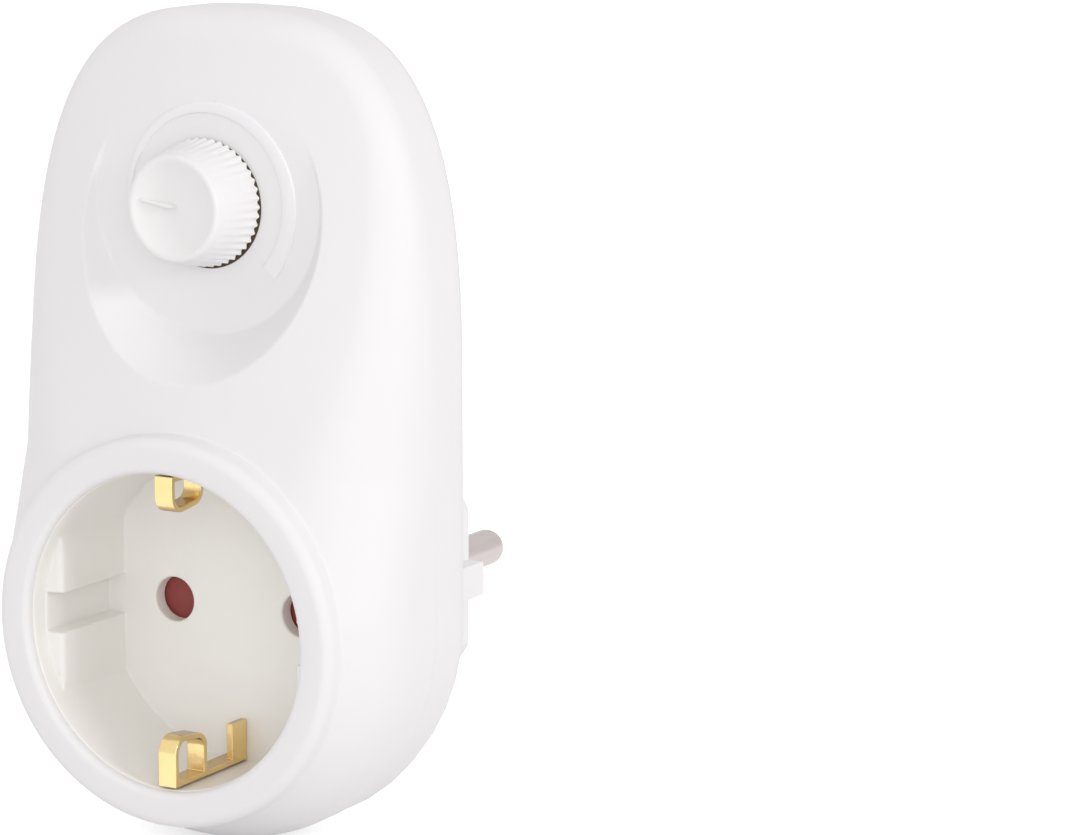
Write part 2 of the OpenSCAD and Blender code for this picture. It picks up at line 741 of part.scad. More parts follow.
module contact_carrier() color([0.3, 0.3, 0.32]) difference() {
    union() {
        rod(0, 0, carrier_r, carrier_y, carrier_back_y);
        difference() {
            rod(0, 0, carrier_r, floor_back_y + slip / 2, carrier_y + carrier_t / 2);
            rod(0, 0, carrier_r - carrier_wall, floor_back_y - over, carrier_y);
        }
        for (side = [-1, 1]) {
            rod(side * pin_pitch / 2, 0, tube_r, carrier_y + carrier_t / 2,
                tube_end_y + (side < 0 ? tube_floor_t : 0));
        }
        rod(0, 0, pivot_r, floor_back_y + slip, carrier_y + carrier_t / 2);
        for (site = carrier_screw_sites) {
            rod(site[0], site[1], boss_r, floor_back_y + slip / 2, carrier_y + carrier_t / 2);
        }
    }
    for (side = [-1, 1]) {
        rod(side * pin_pitch / 2, 0, contact_r + tube_gap, carrier_y - over,
            tube_end_y + (side < 0 ? 0 : over));
        box([-clip_hw - 2 * clip_slot_gap, floor_back_y - over,
            side > 0 ? clip_z - sheet - clip_slot_gap : -carrier_r - over],
            [clip_hw + 2 * clip_slot_gap, carrier_back_y + over,
            side > 0 ? carrier_r + over : sheet - clip_z + clip_slot_gap]);
    }
    // the slot for the left contact's tail
    box([load_x - tail_w / 2 - slip, contact_end_y - 2 * sheet - slip, tail_foot_z - slip],
        [load_x + tail_w / 2 + slip, contact_end_y + over, tail_z + over]);
    for (site = carrier_screw_sites) {
        rod(site[0], site[1], carrier_screw_r + slip, floor_back_y - over, carrier_back_y + over);
        rod(site[0], site[1], carrier_head_r + slip, carrier_back_y - carrier_head_t, carrier_back_y + over);
    }
}

module carrier_screws() color([0.7, 0.7, 0.72]) for (site = carrier_screw_sites) {
    head_y = carrier_back_y - carrier_head_t;
    rod(site[0], site[1], carrier_screw_r - slip / 2 - snug, floor_y + hole_land + 2 * slip, head_y);
    rod(site[0], site[1], carrier_head_r, head_y, carrier_back_y - slip);
}

// Plug pins: round bars with a flange behind the plug's solid end
pin_flange_r = 3.6;
pin_flange_t = 1.5;
module plug_pin(side) color([0.78, 0.74, 0.72]) {
    flange_end_y = -plug_end - snug;
    rod(side * pin_pitch / 2, 0, pin_root_r, flange_end_y - pin_flange_t / 2, pin_shoulder);
    rod(side * pin_pitch / 2, 0, pin_r, 0, pin_len - pin_r);
    translate([side * pin_pitch / 2, pin_len - pin_r, 0]) sphere(r = pin_r, $fn = smooth);
    rod(side * pin_pitch / 2, 0, pin_flange_r, flange_end_y - pin_flange_t, flange_end_y);
}

link_in = 0.6;
module neutral_link() color([0.85, 0.68, 0.35])
    rod(pin_pitch / 2, 0, pin_flange_r - link_in, contact_end_y + snug, -plug_end - pin_flange_t - 2 * snug);

// Earth clips: a loop and a strip in the recess, and a tail that reaches the plug's groove
loop_front = 1.3;
loop_len = 7;
// How far each loop stands out from its strip
loop_low_h = 6.3;
loop_high_h = 4.7;
// Each bend of a loop: its place along the loop, its drop below the loop's top and its radius,
// all over the loop's length
loop_bend_shares = [[0.314, 0, 0.314], [0.714, 0.05, 0.286]];
tab_front = 14;
tab_h = 5.3;
tab_t = 0.9;
step_set = 1.5;
step_y = inner_back_y - step_set;
strip_end = 1.5;

module loop_outline(h, skin) {
    y0 = rim_y + loop_front;
    hull() {
        translate([y0 + skin, clip_z - sheet - over])
            square([loop_len - 2 * skin, sheet - skin + over]);
        for (bend = loop_bend_shares) {
            translate([y0 + loop_len * bend[0], clip_z - h + loop_len * (bend[1] + bend[2])])
                circle(r = loop_len * bend[2] - skin, $fn = bend_smooth);
        }
    }
}

// Drawn for the lower clip with its depth below the axis counted as positive
module earth_clip(h) {
    mirror([0, 0, 1]) {
        rail(-clip_hw, clip_hw) {
            difference() {
                loop_outline(h, 0);
                loop_outline(h, sheet);
            }
            translate([rim_y + loop_front, clip_z - sheet])
                square([step_y + sheet - rim_y - loop_front, sheet]);
            translate([step_y, strip_z - sheet]) square([sheet, clip_z - strip_z + sheet]);
        }
        rail(clip_hw - tab_t, clip_hw)
            translate([rim_y + tab_front, clip_z - tab_h])
                square([floor_y - slip - rim_y - tab_front, tab_h]);
        rail(-strip_w / 2, strip_w / 2)
            translate([step_y, strip_z - sheet]) square([-strip_end - step_y, sheet]);
    }
}

module earth_clip_lower() color([0.83, 0.62, 0.22]) earth_clip(loop_low_h);
module earth_clip_upper() color([0.83, 0.62, 0.22]) mirror([0, 0, 1]) earth_clip(loop_high_h);

link_set = 0.4;
link_y = back_y - link_set;
module earth_link() color([0.83, 0.62, 0.22])
    box([-clip_hw, link_y, -strip_z + sheet + snug], [clip_hw, link_y + sheet, strip_z - sheet - snug]);

// The circuit board and what stands on it
board_chamfer = 5;
module circuit_board() color([0.45, 0.33, 0.2]) difference() {
    slab(board_y, board_back_y) polygon([
        [-board_hw, board_foot], [board_hw, board_foot],
        [board_hw, board_head - board_chamfer], [board_hw - board_chamfer, board_head],
        [board_chamfer - board_hw, board_head], [-board_hw, board_head - board_chamfer]]);
    for (site = board_sites) {
        rod(site[0], site[1], board_hole_r, board_y - over, board_back_y + over);
    }
}

module board_screws() color([0.7, 0.7, 0.72]) for (site = board_sites) {
    rod(site[0], site[1], board_screw_head_r, board_y - board_screw_head_t, board_y);
    rod(site[0], site[1], board_screw_r, board_y - over, inner_back_y);
}

module shell_screws() color([0.7, 0.7, 0.72]) for (site = screw_sites) {
    rod(site[0] * site[1][0], site[1][1], screw_head_r, screw_seat_y, screw_seat_y + screw_head_h);
    rod(site[0] * site[1][0], site[1][1], screw_r - slip - snug, seam_y - screw_reach, screw_seat_y + over);
}

// The heat sink fills the room between the board's left edge and the potentiometer
sink_t = 1;
sink_in = 0.5;
sink_gap = 2;
sink_up = 10;
sink_x = sink_in - board_hw;
sink_w = board_hw - sink_in - pot_r - sink_gap;
sink_z = board_foot + sink_up;
sink_h = 20;
module heat_sink() color([0.75, 0.76, 0.78])
    box([sink_x, board_y - sink_t, sink_z], [sink_x + sink_w, board_y, sink_z + sink_h]);

// The triac lies on the heat sink: its case, its tab with a hole, and three legs to the board
triac_in = 0.5;
triac_w = sink_w - 2 * triac_in;
triac_t = 4.5;
triac_tab_t = 1.3;
triac_tab_h = 6.3;
triac_hole_up = 3.4;
triac_hole_r = 1.8;
triac_h = 9.2;
triac_up = 3;
triac_z = sink_z + triac_up;
leg_pitch_share = 0.254;
leg_w_share = 0.08;
leg_set = 2.6;
leg_t = 0.5;
leg_drop = 1.6;
module triac() color([0.12, 0.12, 0.13]) {
    x = sink_x + triac_in;
    y = board_y - sink_t;
    middle = x + triac_w / 2;
    box([x, y - triac_t, triac_z], [x + triac_w, y, triac_z + triac_h]);
    difference() {
        box([x, y - triac_tab_t, triac_z + triac_h - over],
            [x + triac_w, y, triac_z + triac_h + triac_tab_h]);
        rod(middle, triac_z + triac_h + triac_hole_up, triac_hole_r, y - triac_tab_t - over, y + over);
    }
    for (k = [-1, 0, 1]) {
        leg_x = middle + k * triac_w * leg_pitch_share - triac_w * leg_w_share / 2;
        leg_end_x = leg_x + triac_w * leg_w_share;
        box([leg_x, y - leg_set, sink_z - leg_drop], [leg_end_x, y - leg_set + leg_t, triac_z + over]);
        box([leg_x, y - leg_set, sink_z - leg_drop], [leg_end_x, board_y, sink_z - leg_drop + leg_t]);
    }
}

// The choke stands beside the board's lower left screw
choke_r = 3.8;
choke_gap = 7;
choke_up = 4.1;
choke_x = choke_gap - low_x;
choke_z = board_foot + choke_up;
choke_h = 8.6;
choke_flange = 1;
choke_rim = 0.2;
module choke_core() color([0.2, 0.2, 0.2]) {
    rod(choke_x, choke_z, choke_r, board_y - choke_h, board_y - choke_h + choke_flange);
    rod(choke_x, choke_z, choke_r, board_y - choke_flange, board_y);
    rod(choke_x, choke_z, choke_r / 2, board_y - choke_h + choke_flange / 2, board_y - choke_flange / 2);
}

module choke_sleeve() color([0.1, 0.12, 0.1]) difference() {
    rod(choke_x, choke_z, choke_r - choke_rim, board_y - choke_h + choke_flange + snug,
        board_y - choke_flange - snug);
    rod(choke_x, choke_z, choke_r / 2 + snug, board_y - choke_h, board_y);
}

// The film capacitor ends beside the board's lower right screw
film_x = 6.4;
film_gap = 0.4;
film_w = low_x - board_screw_head_r - film_gap - film_x;
film_up = 1;
film_z = board_foot + film_up;
film_t = 5;
film_h = 9.6;
module film_capacitor() color([0.85, 0.7, 0.15])
    box([film_x, board_y - film_h, film_z], [film_x + film_w, board_y, film_z + film_t]);

timing_gap = 5;
timing_x = choke_x + timing_gap;
timing_w = 7;
timing_t = 2.6;
timing_h = 6.5;
module timing_capacitor() color([0.65, 0.12, 0.1])
    box([timing_x, board_y - timing_h, film_z], [timing_x + timing_w, board_y, film_z + timing_t]);

bead_r = 1.2;
bead_len = 6;
bead_up = 7;
bead_z = board_foot + bead_up;
// A small part lying on the board along the width
module bead(x, z) {
    translate([x, board_y - bead_r, z]) rotate([0, quarter_turn, 0])
        cylinder(r = bead_r, h = bead_len, $fn = smooth);
}

diac_gap = 4.6;
module diac() color([0.2, 0.3, 0.6]) bead(choke_x + diac_gap, bead_z);

resistor_x = 3.4;
resistor_up = 2.4;
resistor_pitch = 3.2;
module resistors() color([0.8, 0.7, 0.5]) for (k = [0, 1]) {
    bead(resistor_x, bead_z + resistor_up + k * resistor_pitch);
}

// The fuse stands upright in two clips at the board's right edge
fuse_in = 3.3;
fuse_up = 12;
fuse_x = board_hw - fuse_in;
fuse_z = board_foot + fuse_up;
fuse_len = 20;
fuse_r = 2.5;
fuse_lift = 1;
fuse_y = board_y - fuse_r - fuse_lift;
fuse_wall = 0.9;
cap_len = 5;
cap_t = 0.15;
cap_end_t = 0.3;
clip_t = 0.5;
clip_foot_hw = 1.5;
clip_mouth_hw = 1.6;
module fuse_tube() color([0.8, 0.9, 0.92, 0.6]) difference() {
    translate([fuse_x, fuse_y, fuse_z + cap_end_t])
        cylinder(r = fuse_r - cap_t - snug, h = fuse_len - 2 * cap_end_t, $fn = smooth);
    translate([fuse_x, fuse_y, fuse_z]) cylinder(r = fuse_r - fuse_wall, h = fuse_len, $fn = smooth);
}

module fuse_caps() color([0.75, 0.75, 0.76]) for (z = [fuse_z, fuse_z + fuse_len - cap_len]) {
    difference() {
        translate([fuse_x, fuse_y, z]) cylinder(r = fuse_r, h = cap_len, $fn = smooth);
        translate([fuse_x, fuse_y, z + (z > fuse_z ? -over : cap_end_t)])
            cylinder(r = fuse_r - cap_t, h = cap_len + over - cap_end_t, $fn = smooth);
    }
}

module fuse_clips() color([0.85, 0.68, 0.35]) for (z = [fuse_z, fuse_z + fuse_len - cap_len]) {
    translate([0, 0, z + clip_t]) difference() {
        union() {
            translate([fuse_x, fuse_y, 0])
                cylinder(r = fuse_r + clip_t, h = cap_len - 2 * clip_t, $fn = smooth);
            box([fuse_x - clip_foot_hw, fuse_y, 0], [fuse_x + clip_foot_hw, board_y, cap_len - 2 * clip_t]);
        }
        translate([fuse_x, fuse_y, -over]) cylinder(r = fuse_r + snug, h = cap_len + over, $fn = smooth);
        box([fuse_x - clip_mouth_hw, fuse_y - 2 * fuse_r, -over],
            [fuse_x + clip_mouth_hw, fuse_y, cap_len + over]);
    }
}

// Wires run straight up from the plug body to the board's back
wire_foot_up = 1.6;
wire_tip_share = 0.8;
wire_foot_z = board_foot + wire_foot_up;
wire_rise_z = 10.4;
module wire(x, start_y, start_z) {
    translate([x, start_y, start_z]) cylinder(r = wire_r, h = wire_rise_z - start_z, $fn = wire_smooth);
    rod(x, wire_rise_z, wire_r, wire_y, start_y);
    translate([x, wire_y, wire_rise_z])
        cylinder(r = wire_r, h = wire_foot_z - wire_rise_z, $fn = wire_smooth);
    rod(x, wire_foot_z, wire_r * wire_tip_share, board_back_y, wire_y);
    for (p = [[start_y, wire_rise_z], [wire_y, wire_rise_z], [wire_y, wire_foot_z]]) {
        translate([x, p[0], p[1]]) sphere(r = wire_r, $fn = wire_smooth);
    }
}

module live_wire() color([0.4, 0.25, 0.15])
    wire(live_x, -plug_end - snug - pin_flange_t / 2, pin_flange_r + 2 * slip);
module load_wire() color([0.1, 0.1, 0.1]) wire(load_x, contact_end_y - 1.5 * sheet, tail_z);

front_shell();
rear_shell();
plug_body();
socket_insert();
knob();
pot_shaft();
pot_wiper();
pot_case();
pot_cover();
pot_track();
shutter();
shutter_spring();
contact_carrier();
contact_left();
contact_right();
plug_pin(-1);  // plug_pin_left
plug_pin(1);  // plug_pin_right
neutral_link();
earth_clip_upper();
earth_clip_lower();
earth_link();
circuit_board();
triac();
heat_sink();
choke_core();
choke_sleeve();
film_capacitor();
timing_capacitor();
diac();
resistors();
fuse_tube();
fuse_caps();
fuse_clips();
live_wire();
load_wire();
shell_screws();
board_screws();
carrier_screws();
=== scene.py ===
import math

import bmesh
import bpy
import numpy as np
from mathutils import Matrix, Vector
from mathutils.geometry import delaunay_2d_cdt


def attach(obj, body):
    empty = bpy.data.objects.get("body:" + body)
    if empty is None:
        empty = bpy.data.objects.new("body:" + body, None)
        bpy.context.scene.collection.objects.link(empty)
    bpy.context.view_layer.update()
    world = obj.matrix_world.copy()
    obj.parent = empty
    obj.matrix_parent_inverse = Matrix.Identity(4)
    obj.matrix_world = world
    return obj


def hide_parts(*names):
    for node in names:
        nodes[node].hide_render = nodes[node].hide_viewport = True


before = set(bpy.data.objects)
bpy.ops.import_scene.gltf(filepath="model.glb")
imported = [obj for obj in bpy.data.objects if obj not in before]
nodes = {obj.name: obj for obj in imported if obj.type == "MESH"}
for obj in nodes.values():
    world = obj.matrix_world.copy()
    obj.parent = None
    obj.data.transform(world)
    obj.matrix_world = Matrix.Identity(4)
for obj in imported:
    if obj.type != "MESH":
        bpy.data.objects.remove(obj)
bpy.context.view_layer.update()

# The view. A long lens stands right of the dimmer and a little above the socket's axis.
# Its place was fitted to the circles of the socket and the dial.
VIEW_FROM = Vector((0.270745, -0.443371, 0.113670))
VIEW_AZIMUTH, VIEW_ELEVATION, VIEW_ROLL = (math.radians(v) for v in (28.802, 10.274, 0.103))


def view_matrix(place, azimuth, elevation, roll):
    """Camera matrix from its place and its azimuth, elevation and roll: its columns are right,
    up and back."""
    back = Vector((
        math.sin(azimuth) * math.cos(elevation),
        -math.cos(azimuth) * math.cos(elevation),
        math.sin(elevation),
    ))
    right = Vector((math.cos(azimuth), math.sin(azimuth), 0))
    up = back.cross(right)
    turned_right = right * math.cos(roll) + up * math.sin(roll)
    turned_up = back.cross(turned_right)
    turn = Matrix((turned_right, turned_up, back)).transposed().to_4x4()
    return Matrix.Translation(place) @ turn


view_data = bpy.data.cameras.new("view")
view_data.lens = 133.7
view_data.sensor_width = 36
view_data.clip_end = 20
view = bpy.data.objects.new("view", view_data)
view.matrix_world = view_matrix(VIEW_FROM, VIEW_AZIMUTH, VIEW_ELEVATION, VIEW_ROLL)
bpy.context.scene.collection.objects.link(view)
bpy.context.scene.camera = view
bpy.context.scene.view_settings.view_transform = "Standard"

# The room. A pale dome lights the dimmer from all round, a key lamp stands to its right and
# grazes its face, and a weaker one before it. The camera, gloss and glass see plain white.
DOME_LEVEL, DOME_TILT = 0.79, Vector((-0.10, -0.16, -0.02))


def white_to_camera(tree):
    """Light Path's camera, gloss and transmission rays joined to one factor."""
    path = tree.nodes.new("ShaderNodeLightPath")
    factor = path.outputs["Is Camera Ray"]
    for ray in ("Is Glossy Ray", "Is Transmission Ray"):
        either = tree.nodes.new("ShaderNodeMath")
        either.operation = "MAXIMUM"
        tree.links.new(factor, either.inputs[0])
        tree.links.new(path.outputs[ray], either.inputs[1])
        factor = either.outputs[0]
    return factor


def make_world(level, tilt):
    """A dome whose level rises along a tilt: level * (1 + direction . tilt)."""
    world = bpy.data.worlds.new("room")
    world.use_nodes = True
    tree = world.node_tree
    tree.nodes.clear()
    out = tree.nodes.new("ShaderNodeOutputWorld")
    place = tree.nodes.new("ShaderNodeTexCoord")
    lean = tree.nodes.new("ShaderNodeVectorMath")
    lean.operation = "DOT_PRODUCT"
    lean.inputs[1].default_value = tilt * level
    shade = tree.nodes.new("ShaderNodeMath")
    shade.operation = "ADD"
    shade.inputs[1].default_value = level
    lit = tree.nodes.new("ShaderNodeBackground")
    seen = tree.nodes.new("ShaderNodeBackground")
    seen.inputs["Color"].default_value = (1, 1, 1, 1)
    mix = tree.nodes.new("ShaderNodeMixShader")
    tree.links.new(place.outputs["Generated"], lean.inputs[0])
    tree.links.new(lean.outputs["Value"], shade.inputs[0])
    tree.links.new(shade.outputs[0], lit.inputs["Strength"])
    lit.inputs["Color"].default_value = (1, 1, 1, 1)
    tree.links.new(white_to_camera(tree), mix.inputs[0])
    tree.links.new(lit.outputs[0], mix.inputs[1])
    tree.links.new(seen.outputs[0], mix.inputs[2])
    tree.links.new(mix.outputs[0], out.inputs["Surface"])
    bpy.context.scene.world = world


def soft_lamp(name, place, target, size, watts):
    """A square area lamp at a place, turned to a target."""
    data = bpy.data.lights.new(name, "AREA")
    data.size = size
    data.energy = watts
    lamp = bpy.data.objects.new(name, data)
    lamp.location = place
    lamp.rotation_euler = (Vector(target) - Vector(place)).to_track_quat("-Z", "Y").to_euler()
    bpy.context.scene.collection.objects.link(lamp)
    return lamp


make_world(DOME_LEVEL, DOME_TILT)
soft_lamp("key_lamp", (1.25, -0.20, 0.44), (0, -0.03, 0.02), 0.25, 3.7)
soft_lamp("front_lamp", (0.70, -1.05, 0.3), (0, -0.03, 0.02), 0.6, 2.4)

# The floor: a plain white sheet under the dimmer. It takes the dimmer's shadow, and the camera
# sees it as light as the white room behind.
FLOOR_Z = -0.0289


def floor_material():
    """White paint, with a plain glow that only the camera and reflections see."""
    material = bpy.data.materials.new("floor_white")
    material.use_nodes = True
    tree = material.node_tree
    skin = tree.nodes["Principled BSDF"]
    skin.inputs["Base Color"].default_value = (0.86, 0.86, 0.86, 1)
    skin.inputs["Roughness"].default_value = 0.9
    skin.inputs["Specular IOR Level"].default_value = 0.1
    glow = tree.nodes.new("ShaderNodeEmission")
    total = tree.nodes.new("ShaderNodeAddShader")
    mix = tree.nodes.new("ShaderNodeMixShader")
    glow.inputs["Strength"].default_value = 0.55
    tree.links.new(skin.outputs[0], total.inputs[0])
    tree.links.new(glow.outputs[0], total.inputs[1])
    tree.links.new(white_to_camera(tree), mix.inputs[0])
    tree.links.new(skin.outputs[0], mix.inputs[1])
    tree.links.new(total.outputs[0], mix.inputs[2])
    tree.links.new(mix.outputs[0], tree.nodes["Material Output"].inputs["Surface"])
    return material


floor_mesh = bpy.data.meshes.new("floor")
floor_corners = [(x * 4, y * 4, FLOOR_Z) for x, y in ((-1, -1), (1, -1), (1, 1), (-1, 1))]
floor_mesh.from_pydata(floor_corners, [], [(0, 1, 2, 3)])
floor_mesh.materials.append(floor_material())
room_floor = bpy.data.objects.new("floor", floor_mesh)
bpy.context.scene.collection.objects.link(room_floor)

# Moulded plastic. Every white part is injection moulded in a fine satin finish: a slight
# ripple from the tool, and a faint change of tone where walls run thick and thin.
WHITE_GRAIN, WHITE_RELIEF, WHITE_GLOSS = 5200, 0.000004, 0.35


def moulded_group():
    """Group of the moulding's look: noise in three sizes gives colour, roughness and height."""
    group = bpy.data.node_groups.new("moulded_finish", "ShaderNodeTree")
    face = group.interface
    tone = face.new_socket("Tone", in_out="INPUT", socket_type="NodeSocketColor")
    tone.default_value = (0.8, 0.8, 0.8, 1)
    shade = face.new_socket("Shade", in_out="INPUT", socket_type="NodeSocketColor")
    shade.default_value = (0.75, 0.75, 0.75, 1)
    rough = face.new_socket("Roughness", in_out="INPUT", socket_type="NodeSocketFloat")
    rough.default_value = 0.4
    size = face.new_socket("Grain per metre", in_out="INPUT", socket_type="NodeSocketFloat")
    size.default_value = 3000
    for name, kind in (("Color", "Color"), ("Roughness", "Float"), ("Height", "Float")):
        face.new_socket(name, in_out="OUTPUT", socket_type="NodeSocket" + kind)
    add, link = group.nodes.new, group.links.new
    start, end = add("NodeGroupInput"), add("NodeGroupOutput")
    place = add("ShaderNodeTexCoord")
    cloud = add("ShaderNodeTexNoise")
    cloud.inputs["Scale"].default_value = 45
    cloud.inputs["Detail"].default_value = 3
    grain = add("ShaderNodeTexNoise")
    grain.inputs["Detail"].default_value = 4
    grain.inputs["Roughness"].default_value = 0.6
    ripple = add("ShaderNodeTexNoise")
    ripple.inputs["Scale"].default_value = 160
    ripple.inputs["Detail"].default_value = 1
    for noise in (cloud, grain, ripple):
        link(place.outputs["Object"], noise.inputs["Vector"])
    link(start.outputs["Grain per metre"], grain.inputs["Scale"])
    blend = add("ShaderNodeMix")
    blend.data_type = "RGBA"
    link(cloud.outputs["Fac"], blend.inputs[0])
    link(start.outputs["Tone"], blend.inputs[6])
    link(start.outputs["Shade"], blend.inputs[7])
    link(blend.outputs[2], end.inputs["Color"])
    spread = add("ShaderNodeMapRange")
    spread.inputs["To Min"].default_value = -0.05
    spread.inputs["To Max"].default_value = 0.05
    link(grain.outputs["Fac"], spread.inputs["Value"])
    total = add("ShaderNodeMath")
    total.operation = "ADD"
    link(spread.outputs[0], total.inputs[0])
    link(start.outputs["Roughness"], total.inputs[1])
    link(total.outputs[0], end.inputs["Roughness"])
    height = add("ShaderNodeMath")
    height.operation = "MULTIPLY_ADD"
    height.inputs[1].default_value = 0.35
    link(ripple.outputs["Fac"], height.inputs[0])
    link(grain.outputs["Fac"], height.inputs[2])
    link(height.outputs[0], end.inputs["Height"])
    return group


MOULDED = moulded_group()


def moulded_plastic(name, tone, shade, roughness, grain, relief, gloss=0.5):
    """A moulded plastic: tone and shade mixed in clouds, with a fine relief in metres."""
    material = bpy.data.materials.new(name)
    material.use_nodes = True
    tree = material.node_tree
    skin = tree.nodes["Principled BSDF"]
    look = tree.nodes.new("ShaderNodeGroup")
    look.node_tree = MOULDED
    look.inputs["Tone"].default_value = (*tone, 1)
    look.inputs["Shade"].default_value = (*shade, 1)
    look.inputs["Roughness"].default_value = roughness
    look.inputs["Grain per metre"].default_value = grain
    bump = tree.nodes.new("ShaderNodeBump")
    bump.inputs["Strength"].default_value = 0.6
    bump.inputs["Distance"].default_value = relief
    tree.links.new(look.outputs["Color"], skin.inputs["Base Color"])
    tree.links.new(look.outputs["Roughness"], skin.inputs["Roughness"])
    tree.links.new(look.outputs["Height"], bump.inputs["Height"])
    tree.links.new(bump.outputs["Normal"], skin.inputs["Normal"])
    skin.inputs["IOR"].default_value = 1.5
    skin.inputs["Specular IOR Level"].default_value = gloss
    return material


# The front shell, in cool white: one moulding with a leaning crowned face, large soft edges,
# a dish for the dial and a round collar for the socket. Sizes are in millimetres.
MM = 0.001
RIM, SEAM, DIAL_Y, DIAL_BACK = -47.4, -29.4, -35.7, -33.7
HALF_WIDTH, TOP, ARCH_Z, ARCH_POWER = 28.8, 75.5, 75.5 / 3, 3.05
EDGE, SIDE_Y, SPLIT_Z = 12.5, -29.8, 27.6
DIAL_Z, DIAL_R, FLARE = 52.0, 16.3, math.tan(math.radians(40))
COLLAR_R, COLLAR_EDGE, MOUTH_R, MOUTH_EDGE = 24.4, 1.4, 19.9, 0.9
FACE_Y, LEAN_Z, LEAN = RIM - 0.2, 3, math.tan(math.radians(11))
DROP_Z, DROP_SPAN, CROWN_Z, CROWN_FADE, CROWN_SPAN = 6, 150, 5, 30, 210
WALL, DISH_WALL, FILLET, SHAFT_HOLE_R = 2.0, 2.61, 0.35, 3.4
SLEEVE_IN_R, SLEEVE_R, SLEEVE_END, LIP_Y, RING_R = 21.5, 23.6, RIM + 12, RIM + 1.2, 21.6
POST_R, POST_END, PILOT_R, PILOT_END = 2.8, SEAM - 1.4, 1.3, SEAM - 2.6
POSTS = ((-23.6, 17), (23.6, 17), (-14.4, 68.4), (14.4, 68.4))
ROUND, ACROSS = 190, 80
SHELL_WHITE = moulded_plastic("housing_white", (0.85, 0.831, 0.842), (0.835, 0.816, 0.827),
                              roughness=0.5, grain=WHITE_GRAIN, relief=WHITE_RELIEF, gloss=WHITE_GLOSS)


def face_depth(x, z):
    """Depth of the front face: flat at the socket, leaning 11 degrees above it, falling below it,
    with a crown that fades in with height."""
    lean = np.maximum(z - LEAN_Z, 0) * LEAN
    drop = np.minimum(z + DROP_Z, 0) ** 2 / DROP_SPAN
    crown = np.clip((z - CROWN_Z) / CROWN_FADE, 0, 1) * x * x / CROWN_SPAN
    return FACE_Y + lean + drop + crown


def outline_chain(inset, count, upper):
    """Points on the housing's outline, evenly spaced: a superellipse above and a circle below,
    anticlockwise from the split on the right (upper) or on the left (lower)."""
    half = HALF_WIDTH - inset
    turn = np.linspace(0, np.pi, 6001)
    arch_x = half * np.sign(np.cos(turn)) * np.abs(np.cos(turn)) ** (2 / ARCH_POWER)
    arch_z = ARCH_Z + (TOP - inset - ARCH_Z) * np.abs(np.sin(turn)) ** (2 / ARCH_POWER)
    if upper:
        keep = arch_z >= SPLIT_Z
        x = np.concatenate([[half], arch_x[keep], [-half]])
        z = np.concatenate([[SPLIT_Z], arch_z[keep], [SPLIT_Z]])
    else:
        bowl = np.linspace(np.pi, 2 * np.pi, 2001)
        x = np.concatenate([[-half], half * np.cos(bowl), [half]])
        z = np.concatenate([[SPLIT_Z], half * np.sin(bowl), [SPLIT_Z]])
    run = np.concatenate([[0], np.cumsum(np.hypot(np.diff(x), np.diff(z)))])
    at = np.linspace(0, run[-1], count)
    return np.stack([np.interp(at, run, x), np.interp(at, run, z)], 1)


def edge_distance(points, inset):
    """Distance of each point from the outline, and the place on the outline that is nearest."""
    loop = np.concatenate([outline_chain(inset, 900, True), outline_chain(inset, 900, False)])
    near, where = np.empty(len(points)), np.empty((len(points), 2))
    after = np.roll(loop, -1, 0)
    step = after - loop
    length = np.maximum((step ** 2).sum(1), 1e-12)
    for start in range(0, len(points), 2000):
        p = points[start:start + 2000]
        share = np.clip(((p[:, None] - loop) * step).sum(2) / length, 0, 1)
        foot = loop + share[..., None] * step
        gap = np.hypot(*(p[:, None] - foot).transpose(2, 0, 1))
        best = gap.argmin(1)
        row = np.arange(len(p))
        near[start:start + 2000] = gap[row, best]
        where[start:start + 2000] = foot[row, best]
    return near, where


def shell_depth(points, inset):
    """Depth of the shell's skin: the face, rounded to the sides by a quarter circle whose radius
    is as large as the depth there allows."""
    near, where = edge_distance(points, inset)
    radius = np.minimum(EDGE, SIDE_Y - face_depth(where[:, 0], where[:, 1])) - inset
    share = np.clip(1 - near / radius, 0, 1)
    return face_depth(points[:, 0], points[:, 1]) + inset + radius * (1 - np.sqrt(1 - share ** 2))


def smooth_max(a, b, k):
    """The larger of two values, eased over a band of width k where they cross."""
    h = np.clip(0.5 + 0.5 * (a - b) / k, 0, 1)
    return b + (a - b) * h + k * h * (1 - h)


# Points closer than the gap, in metres, are joined into one.
JOIN_GAP = 2e-6


def grid_quads(rows, cols, closed, first=0):
    """Faces of a grid stored row by row, wrapped round its columns where closed."""
    r, c = np.meshgrid(np.arange(rows - 1), np.arange(cols if closed else cols - 1), indexing="ij")
    d = (c + 1) % cols
    quads = np.stack([r * cols + c, r * cols + d, (r + 1) * cols + d, (r + 1) * cols + c], -1)
    return quads.reshape(-1, 4) + first


def mesh_piece(name, parts, material, sharp=40):
    """One mesh from grids of points (rows, columns, 3) in millimetres, joined where they meet,
    with its normals turned outwards and its edges kept sharp past an angle in degrees."""
    points, faces, first = [], [], 0
    for grid, closed in parts:
        rows, cols = grid.shape[:2]
        points.append(grid.reshape(-1, 3))
        faces.append(grid_quads(rows, cols, closed, first))
        first += rows * cols
    mesh = bpy.data.meshes.new(name)
    mesh.from_pydata((np.concatenate(points) * MM).tolist(), [], np.concatenate(faces).tolist())
    return finish_piece(name, mesh, material, sharp)


